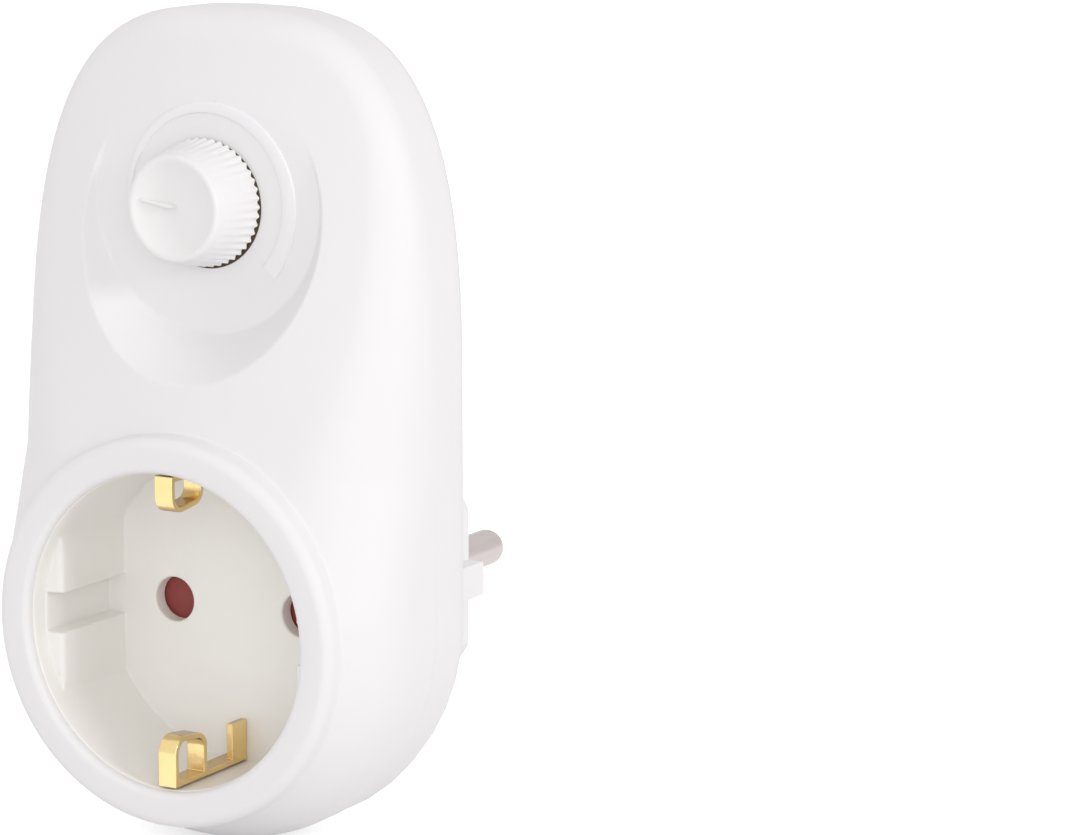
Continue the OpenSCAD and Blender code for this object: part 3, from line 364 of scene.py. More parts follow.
def finish_piece(name, mesh, material, sharp):
    """Joins doubled points, turns the normals outwards and puts the mesh into the scene."""
    build = bmesh.new()
    build.from_mesh(mesh)
    bmesh.ops.remove_doubles(build, verts=build.verts, dist=JOIN_GAP)
    bmesh.ops.dissolve_degenerate(build, edges=build.edges, dist=1e-7)
    bmesh.ops.recalc_face_normals(build, faces=build.faces)
    build.to_mesh(mesh)
    build.free()
    mesh.polygons.foreach_set("use_smooth", np.ones(len(mesh.polygons), bool))
    mesh.set_sharp_from_angle(angle=math.radians(sharp))
    mesh.materials.append(material)
    piece = bpy.data.objects.new(name, mesh)
    bpy.context.scene.collection.objects.link(piece)
    return piece


def with_depth(points, depth):
    """Front view points and their depths as points in space."""
    return np.stack([points[..., 0], depth, points[..., 1]], -1)


def spokes(inner, outer, rows, inset):
    """Rows from an inner loop to the outline, crowded to the outline so that its rounding is even."""
    share = np.sin(np.linspace(0, np.pi / 2, rows))[:, None, None]
    points = inner + (outer - inner) * share
    flat = points.reshape(-1, 2)
    return with_depth(points, shell_depth(flat, inset).reshape(points.shape[:2]))


def ring_rows(profile, turn, centre):
    """A profile of (radius, depth) pairs turned about a centre; depths may be arrays round the turn."""
    rows = []
    for radius, depth in profile:
        r = np.broadcast_to(radius, turn.shape)
        y = np.broadcast_to(depth, turn.shape)
        rows.append(np.stack([r * np.cos(turn), y, centre + r * np.sin(turn)], 1))
    return np.stack(rows)


DISH_EASE, FOOT_BAND, LIP_BAND, FOOT_GAP = 0.3, 0.7, 0.9, 1.6


def dish_depth(r, flat, flat_r):
    """Depth of the dish: its flat, then a cone that flares to the front, eased where they meet."""
    return -smooth_max(-np.full_like(r, flat), (r - flat_r) / FLARE - flat, DISH_EASE)


def shell_skin(inset):
    """Loops and rows of one skin of the shell: the annulus round the dish and the one round the collar."""
    upper = outline_chain(inset, ROUND, True)
    lower = outline_chain(inset, ROUND, False)
    half = HALF_WIDTH - inset
    split_x = half * np.sin(np.linspace(-np.pi / 2, np.pi / 2, ACROSS))[1:-1]
    split = np.stack([split_x, np.full_like(split_x, SPLIT_Z)], 1)
    round_dish = np.concatenate([upper, split])
    round_collar = np.concatenate([lower, split[::-1]])
    turn_dish = np.arctan2(round_dish[:, 1] - DIAL_Z, round_dish[:, 0])
    turn_collar = np.arctan2(round_collar[:, 1], round_collar[:, 0])
    flat, flat_r = (DIAL_Y, DIAL_R) if inset == 0 else (DIAL_BACK, DIAL_R + DISH_WALL + WALL * FLARE)
    low, high = np.full(len(turn_dish), 6.0), np.full(len(turn_dish), 24.0)
    for _ in range(40):
        mid = (low + high) / 2
        x, z = mid * np.cos(turn_dish), DIAL_Z + mid * np.sin(turn_dish)
        inside = dish_depth(mid, flat, flat_r) > face_depth(x, z) + inset
        low, high = np.where(inside, mid, low), np.where(inside, high, mid)
    return round_dish, round_collar, turn_dish, turn_collar, low, flat, flat_r


def dish_rows(turn, edge_r, start_r, flat, flat_r, inset):
    """Rays from the shaft's hole over the dial's flat, up the dish and over its eased edge."""
    foot = np.minimum(flat_r, edge_r - FOOT_GAP)
    spans = [(np.full_like(foot, start_r), foot - FOOT_BAND, 6), (foot - FOOT_BAND, foot + FOOT_BAND, 8),
             (foot + FOOT_BAND, edge_r - FOOT_BAND, 5), (edge_r - FOOT_BAND, edge_r + LIP_BAND, 12)]
    rows = []
    for a, b, count in spans:
        for share in np.linspace(0, 1, count, endpoint=False):
            rows.append(a + (b - a) * share)
    r = np.stack(rows + [edge_r + LIP_BAND])
    x, z = r * np.cos(turn), DIAL_Z + r * np.sin(turn)
    skin = shell_depth(np.stack([x, z], -1).reshape(-1, 2), inset).reshape(r.shape)
    return np.stack([x, smooth_max(dish_depth(r, flat, flat_r), skin, DISH_EASE), z], -1)


def quarter(radius, depth, size, count):
    """Profile of a rounded outer edge, from the front to the side, on a turned part."""
    turn = np.linspace(0, np.pi / 2, count)
    return [(radius - size + size * math.sin(t), depth + size - size * math.cos(t)) for t in turn]


def front_shell_mesh():
    """Outer skin, seam edge and inner skin of the front shell as grids that share their edges."""
    dish_loop, collar_loop, dish_turn, collar_turn, edge_r, flat, flat_r = shell_skin(0)
    parts = []
    dish = dish_rows(dish_turn, edge_r, SHAFT_HOLE_R, flat, flat_r, 0)
    parts.append((dish, True))
    inner = np.stack([dish[-1, :, 0], dish[-1, :, 2]], 1)
    face = spokes(inner, dish_loop, 36, 0)
    face[0] = dish[-1]
    parts.append((face, True))
    upper_edge = face[-1, :ROUND]
    # the collar: mouth, flat ring, rounded edge, wall and a small fillet to the face
    ring = np.stack([COLLAR_R * np.cos(collar_turn), COLLAR_R * np.sin(collar_turn)], 1)
    foot = shell_depth(ring, 0)
    fillet_r = COLLAR_R + FILLET
    beyond = np.stack([fillet_r * np.cos(collar_turn), fillet_r * np.sin(collar_turn)], 1)
    foot_out = shell_depth(beyond, 0)
    profile = [(SLEEVE_IN_R, SLEEVE_END), (SLEEVE_IN_R, LIP_Y), (MOUTH_R, LIP_Y)]
    profile += [(MOUTH_R + MOUTH_EDGE * (1 - math.cos(t)), RIM + MOUTH_EDGE * (1 - math.sin(t)))
                for t in np.linspace(0, np.pi / 2, 8)]
    profile += [(RING_R, RIM)] + quarter(COLLAR_R, RIM, COLLAR_EDGE, 10)
    for share in (0.5, 1.0):
        profile.append((COLLAR_R, RIM + COLLAR_EDGE + (foot - FILLET - RIM - COLLAR_EDGE) * share))
    for t in (0.25, 0.5, 0.75, 1.0):
        a, b, c = (1 - t) ** 2, 2 * t * (1 - t), t * t
        profile.append((COLLAR_R * (a + b) + fillet_r * c, (foot - FILLET) * a + foot * b + foot_out * c))
    collar = ring_rows(profile, collar_turn, 0)
    parts.append((collar, True))
    low_face = spokes(beyond, collar_loop, 30, 0)
    low_face[0] = collar[-1]
    parts.append((low_face, True))
    lower_edge = low_face[-1, :ROUND]
    # side wall down to the seam, and its inner edge
    edge = np.concatenate([upper_edge, lower_edge[1:-1]])
    inner_outline = np.concatenate([outline_chain(WALL, ROUND, True),
                                    outline_chain(WALL, ROUND, False)[1:-1]])
    side = [edge]
    for share in (0.5, 0.9):
        row = edge.copy()
        row[:, 1] += (SEAM - edge[:, 1]) * share
        side.append(row)
    outer_2d = edge[:, [0, 2]]
    for push, depth in ((0.0, SEAM - 0.02), (0.006, SEAM - 0.006), (0.02, SEAM)):
        toward = (inner_outline - outer_2d) / WALL
        side.append(with_depth(outer_2d + toward * push, np.full(len(edge), depth)))
    side.append(with_depth(inner_outline, np.full(len(edge), SEAM)))
    # inner skin
    dish_loop, collar_loop, dish_turn, collar_turn, edge_r, flat, flat_r = shell_skin(WALL)
    dish = dish_rows(dish_turn, edge_r, SHAFT_HOLE_R, flat, flat_r, WALL)
    parts.append((dish, True))
    face = spokes(np.stack([dish[-1, :, 0], dish[-1, :, 2]], 1), dish_loop, 14, WALL)
    face[0] = dish[-1]
    parts.append((face, True))
    sleeve = SLEEVE_R * np.stack([np.cos(collar_turn), np.sin(collar_turn)], 1)
    low = spokes(sleeve, collar_loop, 12, WALL)
    parts.append((low, True))
    sleeve_outside = ring_rows([(SLEEVE_R, SLEEVE_END)], collar_turn, 0)[0]
    sleeve_inside = ring_rows([(SLEEVE_IN_R, SLEEVE_END)], collar_turn, 0)[0]
    parts.append((np.stack([sleeve_outside, low[0]]), True))
    parts.append((np.stack([sleeve_inside, sleeve_outside]), True))
    inner_edge = np.concatenate([face[-1, :ROUND], low[-1, 1:ROUND - 1]])
    side.append(inner_edge)
    parts.append((np.stack(side), True))
    # the posts for the four screws, sunk into the front wall
    post_turn = np.linspace(0, 2 * np.pi, 32, endpoint=False)
    for x, z in POSTS:
        ring = np.stack([x + POST_R * np.cos(post_turn), z + POST_R * np.sin(post_turn)], 1)
        root = shell_depth(ring, WALL / 2)
        post = ring_rows([(0, PILOT_END), (PILOT_R, PILOT_END), (PILOT_R, POST_END), (POST_R, POST_END),
                          (POST_R, root), (0, root.max())], post_turn, z)
        post[..., 0] += x
        parts.append((post, True))
    # the wall of the shaft's hole
    hole = ring_rows([(SHAFT_HOLE_R, DIAL_Y), (SHAFT_HOLE_R, DIAL_BACK)], dish_turn, DIAL_Z)
    parts.append((hole, True))
    return parts


front = mesh_piece("front_shell_skin", front_shell_mesh(), SHELL_WHITE)
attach(front, "housing")
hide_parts("front_shell")

# The level mark: a raised band on the dial's flat that grows from a thin line to a broad blunt
# end as the light gets brighter. It is moulded with the front shell.
MARK_FROM, MARK_SWEEP, MARK_R, MARK_THIN, MARK_GROWTH = 225, 267, 10.9, 0.5, 1.9
MARK_SUNK, MARK_HEIGHT, MARK_RISE_SHARE, MARK_FOOT, MARK_EASE = 0.15, 0.37, 0.12, 0.2, 0.22
CORNER_SHARE = 0.3


def capped_loft(name, grid, material, sharp):
    """One mesh from a grid of closed loops, with a flat cap on its first and its last loop."""
    rows, cols = grid.shape[:2]
    caps = [list(range(cols)), list(range((rows - 1) * cols, rows * cols))[::-1]]
    mesh = bpy.data.meshes.new(name)
    mesh.from_pydata((grid.reshape(-1, 3) * MM).tolist(), [], grid_quads(rows, cols, True).tolist() + caps)
    return finish_piece(name, mesh, material, sharp)


def mark_loops():
    """A wedge arc with eased top edges: its outer radius grows evenly along its sweep, and its
    height by the smooth step 3 s ** 2 - 2 s ** 3 near its thin end."""
    share = np.linspace(0, 1, 181)
    turn = np.radians(MARK_FROM - MARK_SWEEP * share)
    inner = np.full_like(share, MARK_R)
    outer = inner + MARK_THIN + MARK_GROWTH * share
    rise = np.clip(share / MARK_RISE_SHARE, 0, 1)
    top = DIAL_Y + MARK_SUNK - MARK_HEIGHT * rise * rise * (3 - 2 * rise)
    foot, ease, corner = DIAL_Y + MARK_FOOT, MARK_EASE, MARK_EASE * CORNER_SHARE
    section = [(inner, foot + ease), (inner, top + ease), (inner + corner, top + corner),
               (inner + ease, top), (outer - ease, top), (outer - corner, top + corner),
               (outer, top + ease), (outer, foot + ease)]
    return np.stack([ring_rows([(r, y)], turn, DIAL_Z)[0] for r, y in section], 1)


# The mark's white is painted a little lighter than the shell it is moulded with: painted light on its raised
# band.
MARK_PAINTED_LIGHT = moulded_plastic("mark_painted_light_white", (0.875, 0.855, 0.87), (0.86, 0.84, 0.855),
                             roughness=0.5, grain=WHITE_GRAIN, relief=WHITE_RELIEF, gloss=WHITE_GLOSS)
mark = capped_loft("level_mark", mark_loops(), MARK_PAINTED_LIGHT, 50)
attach(mark, "housing")

# The rear shell, in the same white: it closes the housing at the seam and carries the plug's
# body, which has side flats, a rib on each and a groove for each earth strip.
FLAT_ANGLE, CORNER_ANGLE = math.radians(0.5), math.radians(50)


def smooth_copy(name, source, material, sharp, ease=0.0):
    """A CAD node's own mesh with its loose triangles joined, its curves shaded smooth and, where
    ease in millimetres is given, its corners rounded by it."""
    mesh = nodes[source].data.copy()
    mesh.name = name
    mesh.materials.clear()
    mesh.attributes.remove(mesh.attributes["custom_normal"])
    build = bmesh.new()
    build.from_mesh(mesh)
    bmesh.ops.remove_doubles(build, verts=build.verts, dist=JOIN_GAP)
    bmesh.ops.dissolve_limit(build, angle_limit=FLAT_ANGLE, verts=build.verts, edges=build.edges)
    if ease:
        corners = [e for e in build.edges if len(e.link_faces) == 2 and e.calc_face_angle() > CORNER_ANGLE]
        bmesh.ops.bevel(build, geom=corners, offset=ease * MM, offset_type="OFFSET", segments=3, profile=0.5,
                        affect="EDGES", clamp_overlap=False, loop_slide=True)
    build.to_mesh(mesh)
    build.free()
    piece = finish_piece(name, mesh, material, sharp)
    even = piece.modifiers.new("even_shading", "WEIGHTED_NORMAL")
    even.keep_sharp = True
    return piece


rear = smooth_copy("rear_shell_skin", "rear_shell", SHELL_WHITE, 40)
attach(rear, "housing")
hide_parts("rear_shell")

# The plug body, its white painted a little paler than the housing's: painted light that brightens it where
# it sits in the shade behind the body. It is a tube with side flats, a rib on each and a groove for each
# earth strip, and its flange is held between the rear shell and the contact carrier.
PLUG_PAINTED_LIGHT = moulded_plastic("plug_painted_light_white", (0.885, 0.867, 0.877), (0.87, 0.852, 0.862),
                             roughness=0.5, grain=WHITE_GRAIN, relief=WHITE_RELIEF, gloss=WHITE_GLOSS)
plug = smooth_copy("plug_body_skin", "plug_body", PLUG_PAINTED_LIGHT, 24)
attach(plug, "housing")
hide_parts("plug_body")

# The socket insert, in a warmer white: a round cup with a flat block and a notch at each side
# and two holes for the pins. Its flange is held in the front shell's sleeve.
INSERT_WHITE = moulded_plastic("insert_white", (0.91, 0.893, 0.862), (0.895, 0.878, 0.847),
                               roughness=0.3, grain=WHITE_GRAIN, relief=WHITE_RELIEF)
CUP_R, INSERT_R, FLANGE_R, INSERT_Y, CUP_FLOOR, CUP_BACK = 19.8, 21.4, 23.4, -46.1, -30.0, -28.0
FLAT_X, NOTCH_X, NOTCH_HALF, BLOCK_Y = 17.1, 19.45, 2.5, -43.6
PIN_X, HOLE_R, HOLE_EASE = 9.5, 2.85, 0.35
FLANGE_FRONT, FLANGE_BACK, CUP_EASE, BLOCK_EASE = -35.3, -33.8, 0.3, 0.8
BLOCK_LEAD, CREASE, CREASE_MIDDLE, WALL_ROWS = 1.2, 0.3, 0.09, (-40, -36, -33)
EASE_TURNS = (0.5, 1.05, np.pi / 2)


def cup_outline(turn):
    """Radius of the cup below its blocks: a circle cut by side flats, each with a notch in it."""
    x, z = np.abs(np.cos(turn)), np.abs(np.sin(turn))
    flat = np.minimum(FLAT_X / np.maximum(x, 1e-6), CUP_R)
    notch = np.minimum(np.minimum(NOTCH_X / np.maximum(x, 1e-6), NOTCH_HALF / np.maximum(z, 1e-6)), CUP_R)
    return np.maximum(flat, notch)


def cup_turns():
    """Angles round the cup, crowded at the corners of the blocks and of the notches."""
    corners = [math.atan2(NOTCH_HALF, NOTCH_X), math.atan2(NOTCH_HALF, FLAT_X), math.acos(FLAT_X / CUP_R)]
    base = np.linspace(0, np.pi / 2, 60)
    near = [c + d for c in corners for d in (-0.012, -0.006, -0.002, 0, 0.002, 0.006, 0.012)]
    one = np.unique(np.clip(np.concatenate([base, near]), 0, np.pi / 2))
    half = np.concatenate([one, np.pi - one[-2::-1]])
    return np.concatenate([half, 2 * np.pi - half[-2:0:-1]])


def rounded_radius(turn, width):
    """The cup's outline with its corners eased: its mean over a window of the given width."""
    window = np.linspace(-1, 1, 9) * width
    return np.mean([cup_outline(turn + w) for w in window], 0)


def insert_mesh():
    """The cup's wall turned about the socket's axis with a radius that varies round the turn, and the
    outside of the flange and the back behind it."""
    turn = cup_turns()
    low = rounded_radius(turn, 0.008)
    ease = np.minimum(BLOCK_EASE, CUP_R - low)
    rows = [(INSERT_R, CUP_BACK), (INSERT_R, FLANGE_BACK), (FLANGE_R, FLANGE_BACK), (FLANGE_R, FLANGE_FRONT),
            (INSERT_R, FLANGE_FRONT), (INSERT_R, INSERT_Y), (CUP_R + CUP_EASE, INSERT_Y)]
    rows += [(CUP_R + CUP_EASE - CUP_EASE * math.sin(t), INSERT_Y + CUP_EASE - CUP_EASE * math.cos(t))
             for t in EASE_TURNS]
    rows += [(CUP_R, BLOCK_Y - BLOCK_LEAD), (CUP_R, BLOCK_Y - CREASE),
             (CUP_R - np.minimum(CREASE_MIDDLE, ease), BLOCK_Y - CREASE_MIDDLE),
             (CUP_R - np.minimum(CREASE, ease), BLOCK_Y)]
    for t in np.linspace(0, np.pi / 2, 6):
        rows.append((low + ease * (1 - math.sin(t)), BLOCK_Y + ease * (1 - math.cos(t))))
    rows += [(low, y) for y in (*WALL_ROWS, CUP_FLOOR - CUP_EASE)]
    rows += [(low - CUP_EASE + CUP_EASE * math.cos(t), CUP_FLOOR - CUP_EASE + CUP_EASE * math.sin(t))
             for t in EASE_TURNS]
    return ring_rows(rows, turn, 0)


def sheet_with_holes(loop, holes, depth):
    """Triangles between an outer loop and round holes, each given as (x, radius, points)."""
    points, edges = [], []
    for ring in [loop] + [np.stack([x + r * np.cos(t), r * np.sin(t)], 1) for x, r, t in holes]:
        first = len(points)
        points += [Vector(p) for p in ring.tolist()]
        edges += [(first + i, first + (i + 1) % len(ring)) for i in range(len(ring))]
    flat, _, faces, *_ = delaunay_2d_cdt(points, edges, [], 1, 1e-6)
    flat = np.array([(p[0], p[1]) for p in flat])
    middle = flat[np.array(faces)].mean(1)
    keep = np.ones(len(faces), bool)
    for x, r, _ in holes:
        keep &= np.hypot(middle[:, 0] - x, middle[:, 1]) > r * 0.995
    return with_depth(flat, np.full(len(flat), depth)), np.array(faces)[keep]


def insert_piece():
    """Joins the cup's wall, its floor, the holes' rounded walls and the back into one mesh."""
    cup = insert_mesh()
    round_hole = np.linspace(0, 2 * np.pi, 64, endpoint=False)
    points, faces = [cup.reshape(-1, 3)], grid_quads(*cup.shape[:2], True).tolist()
    for side in (-1, 1):
        profile = [(HOLE_R + HOLE_EASE * (1 - math.sin(t)), CUP_FLOOR + HOLE_EASE * (1 - math.cos(t)))
                   for t in np.linspace(0, np.pi / 2, 6)] + [(HOLE_R, CUP_BACK)]
        wall = ring_rows(profile, round_hole, 0)
        wall[..., 0] += side * PIN_X
        faces += grid_quads(*wall.shape[:2], True, sum(map(len, points))).tolist()
        points.append(wall.reshape(-1, 3))
    for loop, radius, depth in ((cup[-1], HOLE_R + HOLE_EASE, CUP_FLOOR), (cup[0], HOLE_R, CUP_BACK)):
        holes = [(side * PIN_X, radius, round_hole) for side in (-1, 1)]
        sheet, triangles = sheet_with_holes(loop[:, [0, 2]], holes, depth)
        faces += (triangles + sum(map(len, points))).tolist()
        points.append(sheet)
    mesh = bpy.data.meshes.new("socket_insert_skin")
    mesh.from_pydata((np.concatenate(points) * MM).tolist(), [], faces)
    return finish_piece("socket_insert_skin", mesh, INSERT_WHITE, 32)


insert = insert_piece()
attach(insert, "housing")
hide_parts("socket_insert")

# The knob, pushed onto the shaft: a tapered skirt with fine teeth, a smooth cap with a round
# edge and a shallow bowl in it, and a thin rib that points to the level.
KNOB_WHITE = moulded_plastic("knob_white", (0.85, 0.838, 0.836), (0.835, 0.823, 0.821),
                             roughness=0.4, grain=WHITE_GRAIN, relief=WHITE_RELIEF)
KNOB_FOOT, KNOB_CAP = DIAL_Y - 0.35, DIAL_Y - 7.55
FOOT_R, CAP_R, CAP_EASE, HOLLOW_R, HOLLOW = 8.0, 6.6, 0.5, 5.8, 1.5
TEETH, TOOTH_DEEP, TOOTH_LEAST, TOOTH_THINNING, TOOTH_END = 44, 0.35, 0.12, 1.4, 0.94
CAP_H, FOOT_EASE, FOOT_SHARE = 1.1, 0.1, 0.012
CAP_STEP, BOWL_EDGE, BOWL_STEP = 0.04, 0.1, 0.05
BORE_R, BORE_TOP, SLOT_R, SLOT_TOP, STEM_END = 3.02, 2.8, 4.0, 2.6, KNOB_FOOT - 0.4
CAP_IN_R, FOOT_IN_R, POINTER_REST = 5.2, 6.4, 171


def knob_mesh():
    """Rays round the knob's axis: the radius tapers with height, and the teeth are a wave that
    fades towards the cap. The hollow is a bowl: its depth is 1 - (r / R) ** 2 of the full depth."""
    turn = np.linspace(0, 2 * np.pi, TEETH * 10, endpoint=False)
    wave = (turn * TEETH / (2 * np.pi)) % 1
    tooth = 0.5 + 0.5 * np.cos(2 * np.pi * wave)
    rows = []
    skirt_top = KNOB_CAP + CAP_H
    for share in np.concatenate([[0, FOOT_SHARE, 0.03], np.linspace(0.08, TOOTH_END, 9), [0.97, 1.0]]):
        depth = KNOB_FOOT + (skirt_top - KNOB_FOOT) * share
        fade = 1 - np.clip((share - TOOTH_END) / (1 - TOOTH_END), 0, 1) ** 2
        ease = FOOT_EASE * (1 - min(share / FOOT_SHARE, 1))
        radius = FOOT_R - (FOOT_R - CAP_R) * (KNOB_FOOT - depth) / (KNOB_FOOT - KNOB_CAP) - ease
        groove = TOOTH_DEEP * max(TOOTH_LEAST, 1 - TOOTH_THINNING * share) * fade
        rows.append((radius - groove * (1 - tooth) - CAP_STEP * (1 - fade), depth))
    for t in np.linspace(0.05, np.pi / 2, 9):
        rows.append((CAP_R - CAP_EASE * (1 - math.cos(t)), KNOB_CAP + CAP_EASE * (1 - math.sin(t))))
    rows += [(HOLLOW_R + BOWL_EDGE, KNOB_CAP), (HOLLOW_R, KNOB_CAP + CAP_STEP)]
    for share in np.linspace(0.97, 0.02, 14):
        rows.append((HOLLOW_R * share, KNOB_CAP + BOWL_STEP + (HOLLOW - BOWL_STEP) * (1 - share * share)))
    rows.append((0.0, KNOB_CAP + HOLLOW))
    inner = [(0.0, KNOB_CAP + BORE_TOP), (BORE_R, KNOB_CAP + BORE_TOP), (BORE_R, STEM_END),
             (SLOT_R, STEM_END), (SLOT_R, KNOB_CAP + SLOT_TOP), (CAP_IN_R, KNOB_CAP + SLOT_TOP),
             (FOOT_IN_R, KNOB_FOOT)]
    outer = ring_rows(rows, turn, 0)
    return outer, ring_rows(inner[::-1], turn, 0)


def turned_to_pointer(points):
    """Turns points about the knob's axis so that what lies at three o'clock points to the level."""
    a = math.radians(POINTER_REST)
    x = points[..., 0] * math.cos(a) - points[..., 2] * math.sin(a)
    z = points[..., 0] * math.sin(a) + points[..., 2] * math.cos(a)
    return np.stack([x, points[..., 1], z + DIAL_Z], -1)


outer_knob, inner_knob = (turned_to_pointer(g) for g in knob_mesh())
foot_ring = np.stack([inner_knob[0], outer_knob[0]])
knob = mesh_piece("knob_skin", [(outer_knob, True), (foot_ring, True), (inner_knob, True)], KNOB_WHITE, 50)
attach(knob, "dial")
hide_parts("knob")


RIB_FROM, RIB_LENGTH, RIB_HALF, RIB_SUNK, RIB_LIFT = 0.3, 4.9, 0.2, 0.25, 0.05
RIB_ROOT, RIB_TAPER, RIB_TIP, RIB_ROWS, RIB_COLS = 0.05, 12, 0.15, 13, 9


def pointer_loops():
    """A thin rib with a rounded back that lies in the cap's bowl, from near the centre to its rim."""
    along = np.linspace(0, 1, RIB_ROWS)
    x = RIB_FROM + RIB_LENGTH * along
    across = np.linspace(0, np.pi, RIB_COLS)
    width = RIB_HALF * np.clip(np.minimum(along, 1 - along) * RIB_TAPER + RIB_TIP, 0, 1)[:, None]
    top = KNOB_CAP + RIB_SUNK + np.zeros((RIB_ROWS, 1))
    grid = np.stack([
        np.broadcast_to(x[:, None], (RIB_ROWS, RIB_COLS)),
        top + RIB_HALF * (1 - np.sin(across)) - RIB_LIFT,
        width * np.cos(across),
    ], -1)
    foot = grid[:, [RIB_COLS - 1, 0]].copy()
    foot[..., 1] = KNOB_CAP + HOLLOW + RIB_ROOT
    return np.concatenate([grid, foot], 1)


pointer = capped_loft("pointer", turned_to_pointer(pointer_loops()), KNOB_WHITE, 50)
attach(pointer, "dial")

# A dark brown ring under the knob's foot: painted shade that stands in for the shadowed gap which shows
# there as a dark crescent. It is set a little low and to the right of the knob's axis for that look.
SHADE_RING_IN_R, SHADE_RING_TOP_R, SHADE_RING_R, SHADE_RING_OFFSET = 4.0, 7.8, 7.88, (0.05, 0, -0.3)
SHADE_RING_TOP, SHADE_RING_EDGE, SHADE_RING_FOOT = DIAL_Y - 0.12, DIAL_Y - 0.05, DIAL_Y + 0.05
shade_ring_turn = np.linspace(0, 2 * np.pi, 96, endpoint=False)
shade_ring_rows = ring_rows([(SHADE_RING_IN_R, SHADE_RING_TOP), (SHADE_RING_TOP_R, SHADE_RING_TOP), (SHADE_RING_R, SHADE_RING_EDGE),
                         (SHADE_RING_R, SHADE_RING_FOOT), (SHADE_RING_IN_R, SHADE_RING_FOOT), (SHADE_RING_IN_R, SHADE_RING_TOP)],
                        shade_ring_turn, DIAL_Z) + SHADE_RING_OFFSET
# The ring's dark brown is painted shade, not the colour of a real part.
GAP_SHADE_BROWN = moulded_plastic("painted_gap_shade_brown", (0.11, 0.085, 0.05), (0.08, 0.06, 0.035),
                       roughness=0.9, grain=9000, relief=0.00003, gloss=0.1)
shade_ring = mesh_piece("painted_shade_ring", [(shade_ring_rows, True)], GAP_SHADE_BROWN)
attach(shade_ring, "housing")

# Metal. The clips and contacts are stamped from sheet brass, the pins are turned and nickel
# plated, and the screws and caps are zinc plated steel.
# Facing values over which a metal's colour darkens to its slant colour: a painted dark reflection where the
# metal is seen at a slant.
PAINTED_SLANT_FROM, PAINTED_SLANT_TO, ROUGH_SPREAD = 0.55, 0.95, 0.07


def metal(name, light, dark, slant, roughness, grain, stretch, wave):
    """A worked metal: streaks of noise stretched along one axis vary its colour and roughness, and its
    colour darkens to the slant colour where it is seen at a slant, a painted dark reflection. The wave is
    the height in metres by which its face swells along the streaks."""
    material = bpy.data.materials.new(name)
    material.use_nodes = True
    tree = material.node_tree
    skin = tree.nodes["Principled BSDF"]
    skin.inputs["Metallic"].default_value = 1
    place = tree.nodes.new("ShaderNodeTexCoord")
    scale = tree.nodes.new("ShaderNodeMapping")
    scale.inputs["Scale"].default_value = stretch
    streak = tree.nodes.new("ShaderNodeTexNoise")
    streak.inputs["Scale"].default_value = grain
    streak.inputs["Detail"].default_value = 4
    tree.links.new(place.outputs["Object"], scale.inputs["Vector"])
    tree.links.new(scale.outputs["Vector"], streak.inputs["Vector"])
    ramp = tree.nodes.new("ShaderNodeMix")
    ramp.data_type = "RGBA"
    ramp.inputs[6].default_value = (*light, 1)
    ramp.inputs[7].default_value = (*dark, 1)
    tree.links.new(streak.outputs["Fac"], ramp.inputs[0])
    # Painted reflection: the colour darkens to the slant colour where the face is seen at a slant.
    seen = tree.nodes.new("ShaderNodeLayerWeight")
    seen.inputs["Blend"].default_value = 0.5
    past = tree.nodes.new("ShaderNodeMapRange")
    past.inputs["From Min"].default_value = PAINTED_SLANT_FROM
    past.inputs["From Max"].default_value = PAINTED_SLANT_TO
    turned = tree.nodes.new("ShaderNodeMix")
    turned.data_type = "RGBA"
    turned.inputs[7].default_value = (*slant, 1)
    tree.links.new(seen.outputs["Facing"], past.inputs["Value"])
    tree.links.new(past.outputs[0], turned.inputs[0])
    tree.links.new(ramp.outputs[2], turned.inputs[6])
    tree.links.new(turned.outputs[2], skin.inputs["Base Color"])
    spread = tree.nodes.new("ShaderNodeMapRange")
    spread.inputs["To Min"].default_value = roughness - ROUGH_SPREAD
    spread.inputs["To Max"].default_value = roughness + ROUGH_SPREAD
    tree.links.new(streak.outputs["Fac"], spread.inputs["Value"])
    tree.links.new(spread.outputs[0], skin.inputs["Roughness"])
    bump = tree.nodes.new("ShaderNodeBump")
    bump.inputs["Strength"].default_value = 0.4
    bump.inputs["Distance"].default_value = wave
    tree.links.new(streak.outputs["Fac"], bump.inputs["Height"])
    tree.links.new(bump.outputs["Normal"], skin.inputs["Normal"])
    return material


def refinish(names, material):
    """Gives one material to CAD nodes that keep their own shape."""
    for name in names:
        nodes[name].data.materials.clear()
        nodes[name].data.materials.append(material)


# Each metal's slant colour is the painted dark reflection it takes at a slant.
BRASS = metal("sheet_brass", light=(0.93, 0.73, 0.38), dark=(0.84, 0.60, 0.25), slant=(0.18, 0.08, 0.015),
              roughness=0.22, grain=400, stretch=(1, 0.4, 1), wave=0.0003)
NICKEL = metal("pin_nickel", light=(0.62, 0.54, 0.54), dark=(0.52, 0.46, 0.46), slant=(0.46, 0.41, 0.41),
               roughness=0.3, grain=1200, stretch=(1, 0.15, 1), wave=0.000002)
ZINC = metal("plated_steel", light=(0.62, 0.62, 0.64), dark=(0.5, 0.5, 0.52), slant=(0.45, 0.45, 0.47),
             roughness=0.35, grain=1500, stretch=(1, 1, 1), wave=0.000002)

refinish(("earth_link", "neutral_link", "contact_left", "contact_right", "pot_wiper", "fuse_clips"), BRASS)
refinish(("pot_cover", "shutter_spring", "heat_sink", "fuse_caps", "shell_screws", "board_screws",
          "carrier_screws"), ZINC)

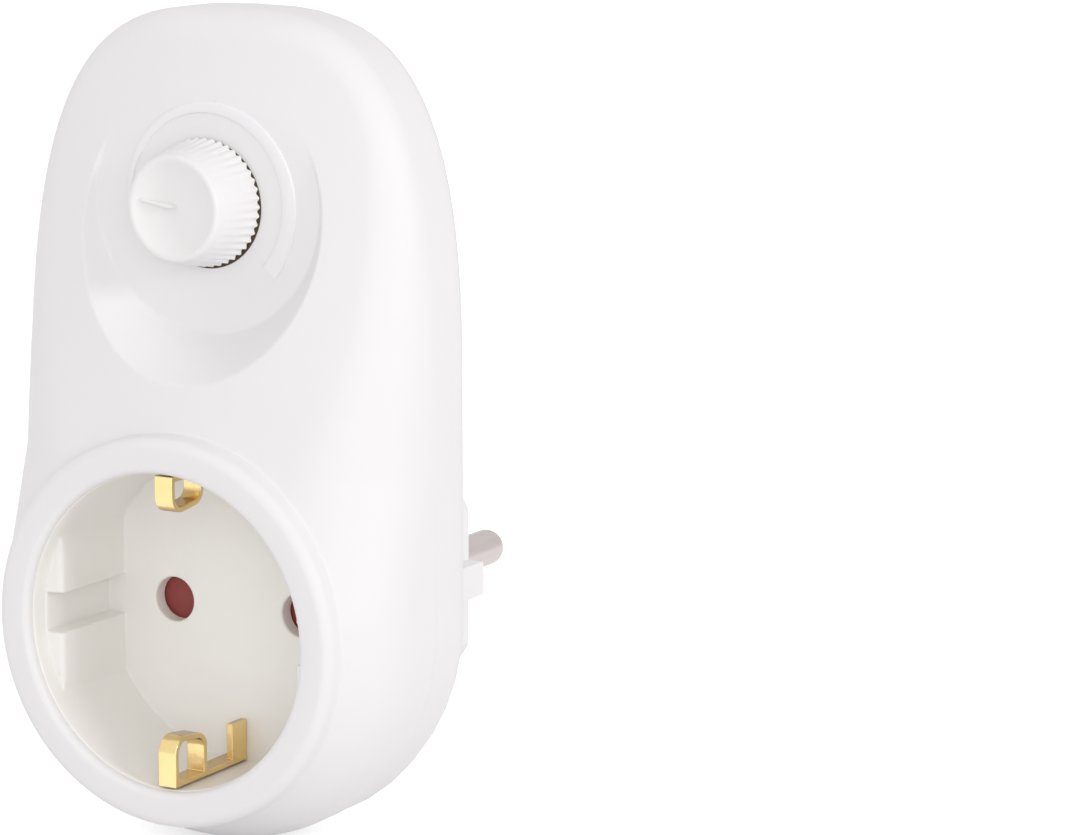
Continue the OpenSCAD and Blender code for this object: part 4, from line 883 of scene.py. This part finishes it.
# The two earth clips, stamped and bent from sheet brass and polished: a sprung loop, a strip and
# a tab in the socket, and a tail that lies in the plug's groove. Their edges are eased.
for side in ("upper", "lower"):
    clip = smooth_copy("earth_clip_" + side + "_bent", "earth_clip_" + side, BRASS, 30, 0.12)
    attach(clip, "housing")
    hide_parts("earth_clip_" + side)

# The plug's pins: round bars with a domed tip, turned and plated. A thick root holds each in the
# plug body, and a flange at its inner end stops it from being drawn out.
PIN_R, PIN_TIP, PIN_ROOT_R, PIN_ROOT_Y, BAR_ROWS = 2.4, 19.0, 3.3, 0.2, (12, 8, 4)
PIN_FLANGE_R, PIN_FLANGE_Y, PIN_END = 3.6, -8.32, -9.82


def pin_mesh(side):
    """A half dome, a straight bar, a thick root and a flange, turned about the pin's axis."""
    turn = np.linspace(0, 2 * np.pi, 64, endpoint=False)
    profile = [(0.0, PIN_TIP)]
    for t in np.linspace(0.1, np.pi / 2, 14):
        profile.append((PIN_R * math.sin(t), PIN_TIP - PIN_R + PIN_R * math.cos(t)))
    profile += [(PIN_R, y) for y in (*BAR_ROWS, PIN_ROOT_Y)]
    profile += [(PIN_ROOT_R, PIN_ROOT_Y), (PIN_ROOT_R, PIN_FLANGE_Y), (PIN_FLANGE_R, PIN_FLANGE_Y),
                (PIN_FLANGE_R, PIN_END), (0.0, PIN_END)]
    grid = ring_rows(profile, turn, 0)
    grid[..., 0] += side * PIN_X
    return [(grid, True)]


for side, name in ((-1, "plug_pin_left"), (1, "plug_pin_right")):
    pin = mesh_piece(name + "_turned", pin_mesh(side), NICKEL)
    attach(pin, "housing")
    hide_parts(name)

# The shutter behind the socket's floor and the inner parts, each in its own plain finish.
INNER = {
    "shutter": ("shutter_maroon", (0.30, 0.05, 0.045), (0.24, 0.035, 0.032)),
    "contact_carrier": ("carrier_black", (0.03, 0.03, 0.034), (0.02, 0.02, 0.022)),
    "pot_case": ("pot_black", (0.03, 0.03, 0.034), (0.02, 0.02, 0.022)),
    "pot_track": ("track_black", (0.02, 0.02, 0.02), (0.03, 0.03, 0.03)),
    "pot_shaft": ("nylon_cream", (0.72, 0.7, 0.62), (0.68, 0.66, 0.58)),
    "circuit_board": ("board_laminate", (0.32, 0.2, 0.08), (0.26, 0.15, 0.05)),
    "triac": ("epoxy_black", (0.03, 0.03, 0.03), (0.02, 0.02, 0.02)),
    "choke_core": ("ferrite_grey", (0.05, 0.05, 0.05), (0.035, 0.035, 0.035)),
    "choke_sleeve": ("sleeve_black", (0.015, 0.02, 0.015), (0.01, 0.012, 0.01)),
    "film_capacitor": ("capacitor_yellow", (0.7, 0.5, 0.06), (0.62, 0.42, 0.04)),
    "timing_capacitor": ("capacitor_red", (0.4, 0.05, 0.03), (0.3, 0.03, 0.02)),
    "diac": ("bead_blue", (0.05, 0.12, 0.4), (0.04, 0.1, 0.3)),
    "resistors": ("bead_tan", (0.55, 0.42, 0.22), (0.5, 0.38, 0.2)),
    "fuse_tube": ("fuse_glass", (0.8, 0.9, 0.9), (0.78, 0.88, 0.88)),
    "live_wire": ("wire_brown", (0.16, 0.06, 0.03), (0.13, 0.05, 0.02)),
    "load_wire": ("wire_black", (0.02, 0.02, 0.02), (0.03, 0.03, 0.03)),
}
for name, (label, tone, shade) in INNER.items():
    refinish((name,), moulded_plastic(label, tone, shade, roughness=0.45, grain=2600, relief=0.00002))
